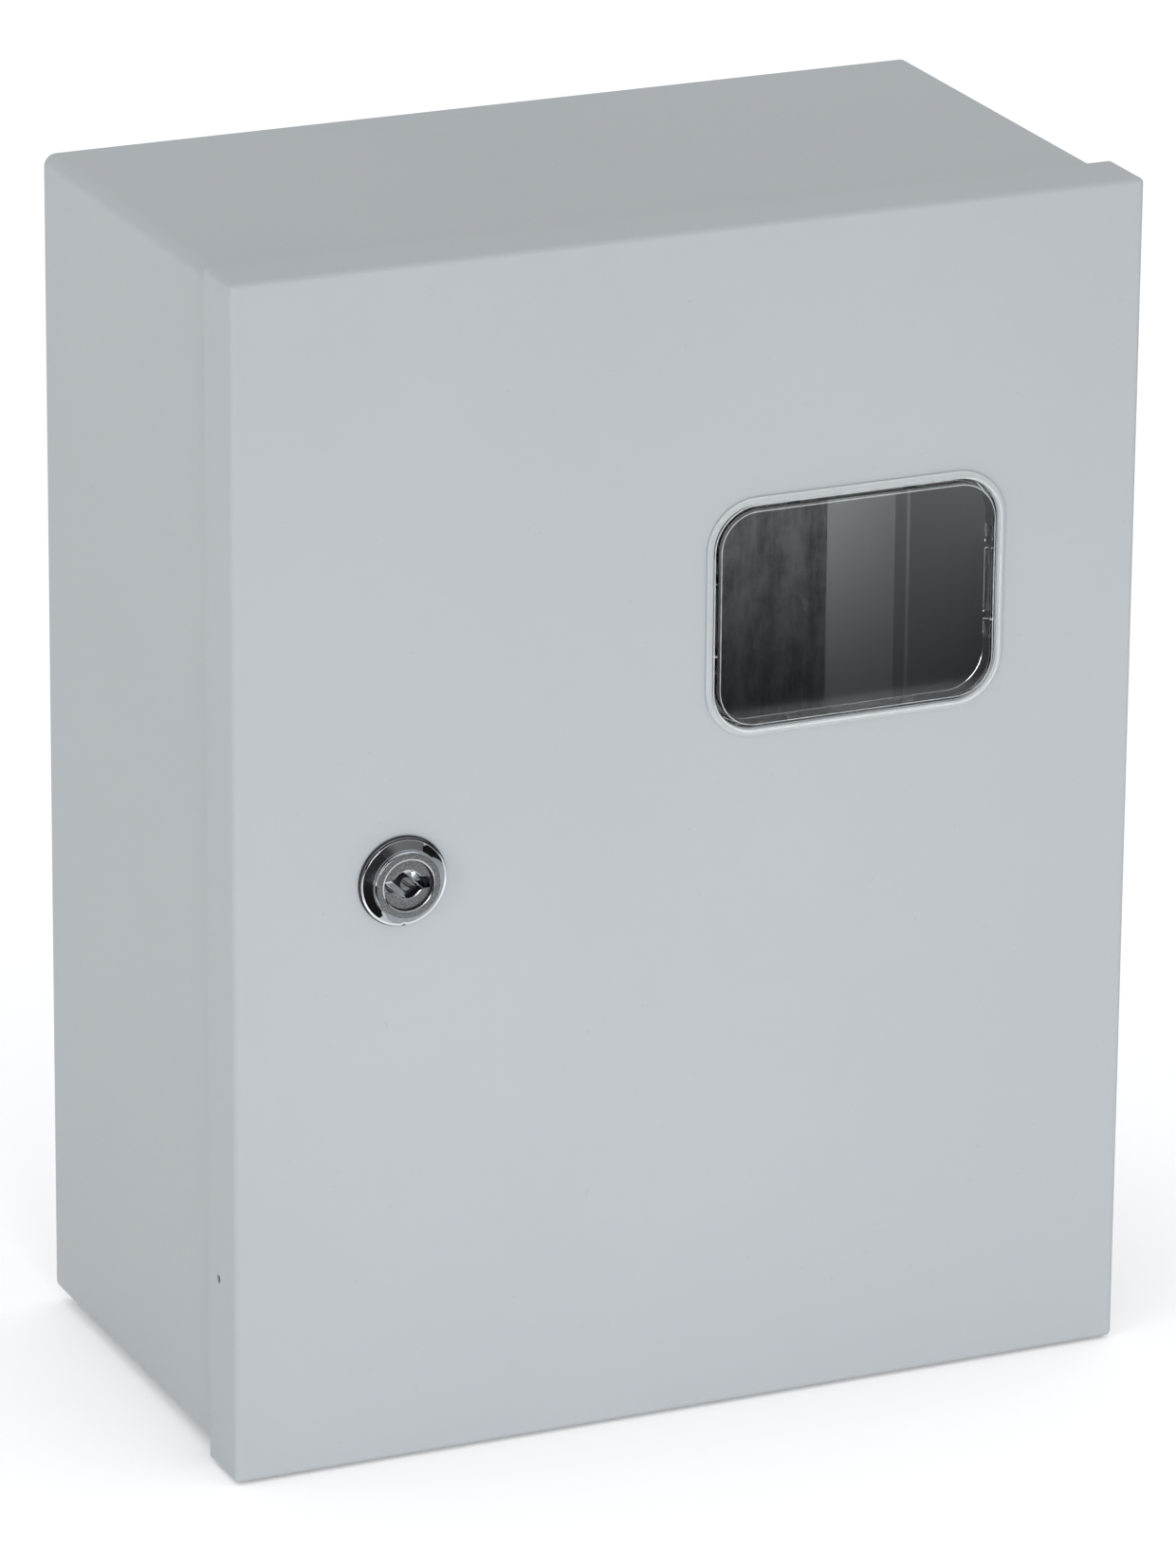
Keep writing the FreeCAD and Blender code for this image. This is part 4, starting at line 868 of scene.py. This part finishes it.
def add_flag(name, corners, shade, right_shade=None):
    """A dark studio card that only mirror reflections see, as beside a polished lock.  With
    `right_shade` it grows lighter from 0.8 m left to 0.3 m right of the cabinet's middle."""
    flag = link_mesh(name, corners, [(0, 1, 2, 3)])
    flag.visible_camera = False
    flag.visible_diffuse = False
    flag.visible_transmission = False
    flag.visible_shadow = False
    finish = Finish(name)
    cloth = finish.noise(3.0, 2.0)
    tone = finish.blend(cloth, (shade, shade, shade), (shade * 1.2,) * 3)
    if right_shade:
        across = finish.node("ShaderNodeSeparateXYZ", {}, {"Vector": finish.place}, "X")
        tone = finish.blend(across.above(-0.25, 0.55), tone, (right_shade,) * 3)
    finish.set(Base_Color=tone)
    finish.set(Roughness=0.95, Specular_IOR_Level=0.05)
    wear(flag, finish.material)


def add_flags():
    """Cards at the left and right, overhead, and on the floor in front.  "Near" is the edge
    beside the cabinet, "far" the edge towards the camera."""
    level = cad_box[0][2] + 0.5 * MM
    door = cad_box[0][1] - 0.008
    mat_edge, mat_near, mat_far, mat_right = -0.130, -0.78, -2.5, 2.5
    left, left_near = -1.2, -0.55
    roof, roof_left, roof_right, roof_near = 1.9, -1.3, 3.2, -0.6
    card_far = -2.6
    right, right_near, right_far, right_top = 0.9, -0.05, -0.50, 0.62
    add_flag("left_mat", [(mat_edge, door, level), (left, door, level),
                          (left, mat_far, level), (mat_edge, mat_far, level)], 0.012)
    add_flag("front_mat", [(mat_edge, mat_near, level), (mat_edge, mat_far, level),
                           (mat_right, mat_far, level), (mat_right, mat_near, level)], 0.02)
    add_flag("left_card", [(left, left_near, level), (left, card_far, level),
                           (left, card_far, roof), (left, left_near, roof)], 0.035)
    add_flag("top_card", [(roof_left, roof_near, roof), (roof_right, roof_near, roof),
                          (roof_right, card_far, roof), (roof_left, card_far, roof)], 0.045, 0.20)
    add_flag("right_card", [(right, right_near, level), (right, right_far, level),
                            (right, right_far, right_top), (right, right_near, right_top)], 0.01)


def add_sky():
    """Even studio surround, brighter overhead than at the horizon."""
    world = bpy.data.worlds.new("studio")
    bpy.context.scene.world = world
    world.use_nodes = True
    tree = world.node_tree
    horizon = (0.57, 0.57, 0.57, 1.0)
    overhead = (1.0, 1.01, 1.03, 1.0)
    place = tree.nodes.new("ShaderNodeTexCoord")
    split = tree.nodes.new("ShaderNodeSeparateXYZ")
    ramp = tree.nodes.new("ShaderNodeValToRGB")
    tree.links.new(place.outputs["Generated"], split.inputs[0])
    tree.links.new(split.outputs["Z"], ramp.inputs[0])
    ramp.color_ramp.elements[0].position = 0.15
    ramp.color_ramp.elements[0].color = horizon
    ramp.color_ramp.elements[1].position = 1.0
    ramp.color_ramp.elements[1].color = overhead
    background = tree.nodes["Background"]
    tree.links.new(ramp.outputs[0], background.inputs[0])
    background.inputs["Strength"].default_value = 1.13


def add_panel_light(name, place, target, width, height, power):
    """A soft rectangular light of `power` watts that looks from `place` at `target`."""
    light = bpy.data.lights.new(name, "AREA")
    light.shape = "RECTANGLE"
    light.size = width
    light.size_y = height
    light.energy = power
    thing = bpy.data.objects.new(name, light)
    bpy.context.scene.collection.objects.link(thing)
    thing.location = place
    aim = Vector(target) - Vector(place)
    thing.rotation_euler = aim.to_track_quat("-Z", "Y").to_euler()
    return thing


def hide_lamp(lamp):
    """Leaves only the light that falls on things: the lamp itself is seen nowhere."""
    lamp.visible_camera = False
    lamp.visible_glossy = False
    lamp.visible_transmission = False


def add_low_strip():
    """A weak strip near the floor in front, that lifts the lower half of the door."""
    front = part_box("door_panel")[0]
    place = (0.0, front.y - 0.45, front.z + 0.06)
    target = (0.0, front.y, front.z + 0.03)
    hide_lamp(add_panel_light("low_strip", place, target, 0.5, 0.06, 0.45))


def add_inner_fill():
    """A weak lamp inside, above the window, that lifts the inside seen through the window."""
    low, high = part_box("window_pane")
    place = (high.x - 0.035, low.y + 0.018, high.z + 0.025)
    target = (high.x + 0.01, 0.0, high.z - 0.02)
    lamp = add_panel_light("inner_fill", place, target, 0.05, 0.03, 0.031)
    lamp.data.spread = math.radians(80)
    hide_lamp(lamp)


def add_camera():
    """Long lens, from the left and above; angles in degrees, places in metres."""
    yaw, pitch, roll = (math.radians(angle) for angle in (24.10, 19.67, 0.50))
    door_face = Vector((0.0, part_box("door_panel")[0].y, 0.0))
    stand = Vector((-1.1706, -2.5380, 1.0151))
    ahead = Vector((math.sin(yaw) * math.cos(pitch), math.cos(yaw) * math.cos(pitch),
                    -math.sin(pitch)))
    level = Vector((math.cos(yaw), -math.sin(yaw), 0.0))
    upright = level.cross(ahead)
    right = level * math.cos(roll) + upright * math.sin(roll)
    up = upright * math.cos(roll) - level * math.sin(roll)
    lens = bpy.data.cameras.new("studio_camera")
    lens.sensor_width = 36.0
    lens.lens = 216.48
    lens.clip_end = 100.0
    camera = bpy.data.objects.new("studio_camera", lens)
    bpy.context.scene.collection.objects.link(camera)
    turn = Matrix((right, up, -ahead)).transposed().to_4x4()
    camera.matrix_world = Matrix.Translation(door_face + stand) @ turn
    bpy.context.scene.camera = camera


add_floor()
add_flags()
add_sky()
add_panel_light("front_panel", (-0.60, -3.0, 0.50), (0.0, -0.1, 0.0), 0.8, 1.2, 19.0)
add_panel_light("left_strip", (-2.2, -1.2, 0.1), (-0.15, -0.15, 0.0), 0.35, 1.6, 12.0)
add_low_strip()
add_inner_fill()
add_camera()
bpy.context.scene.view_settings.view_transform = "Standard"
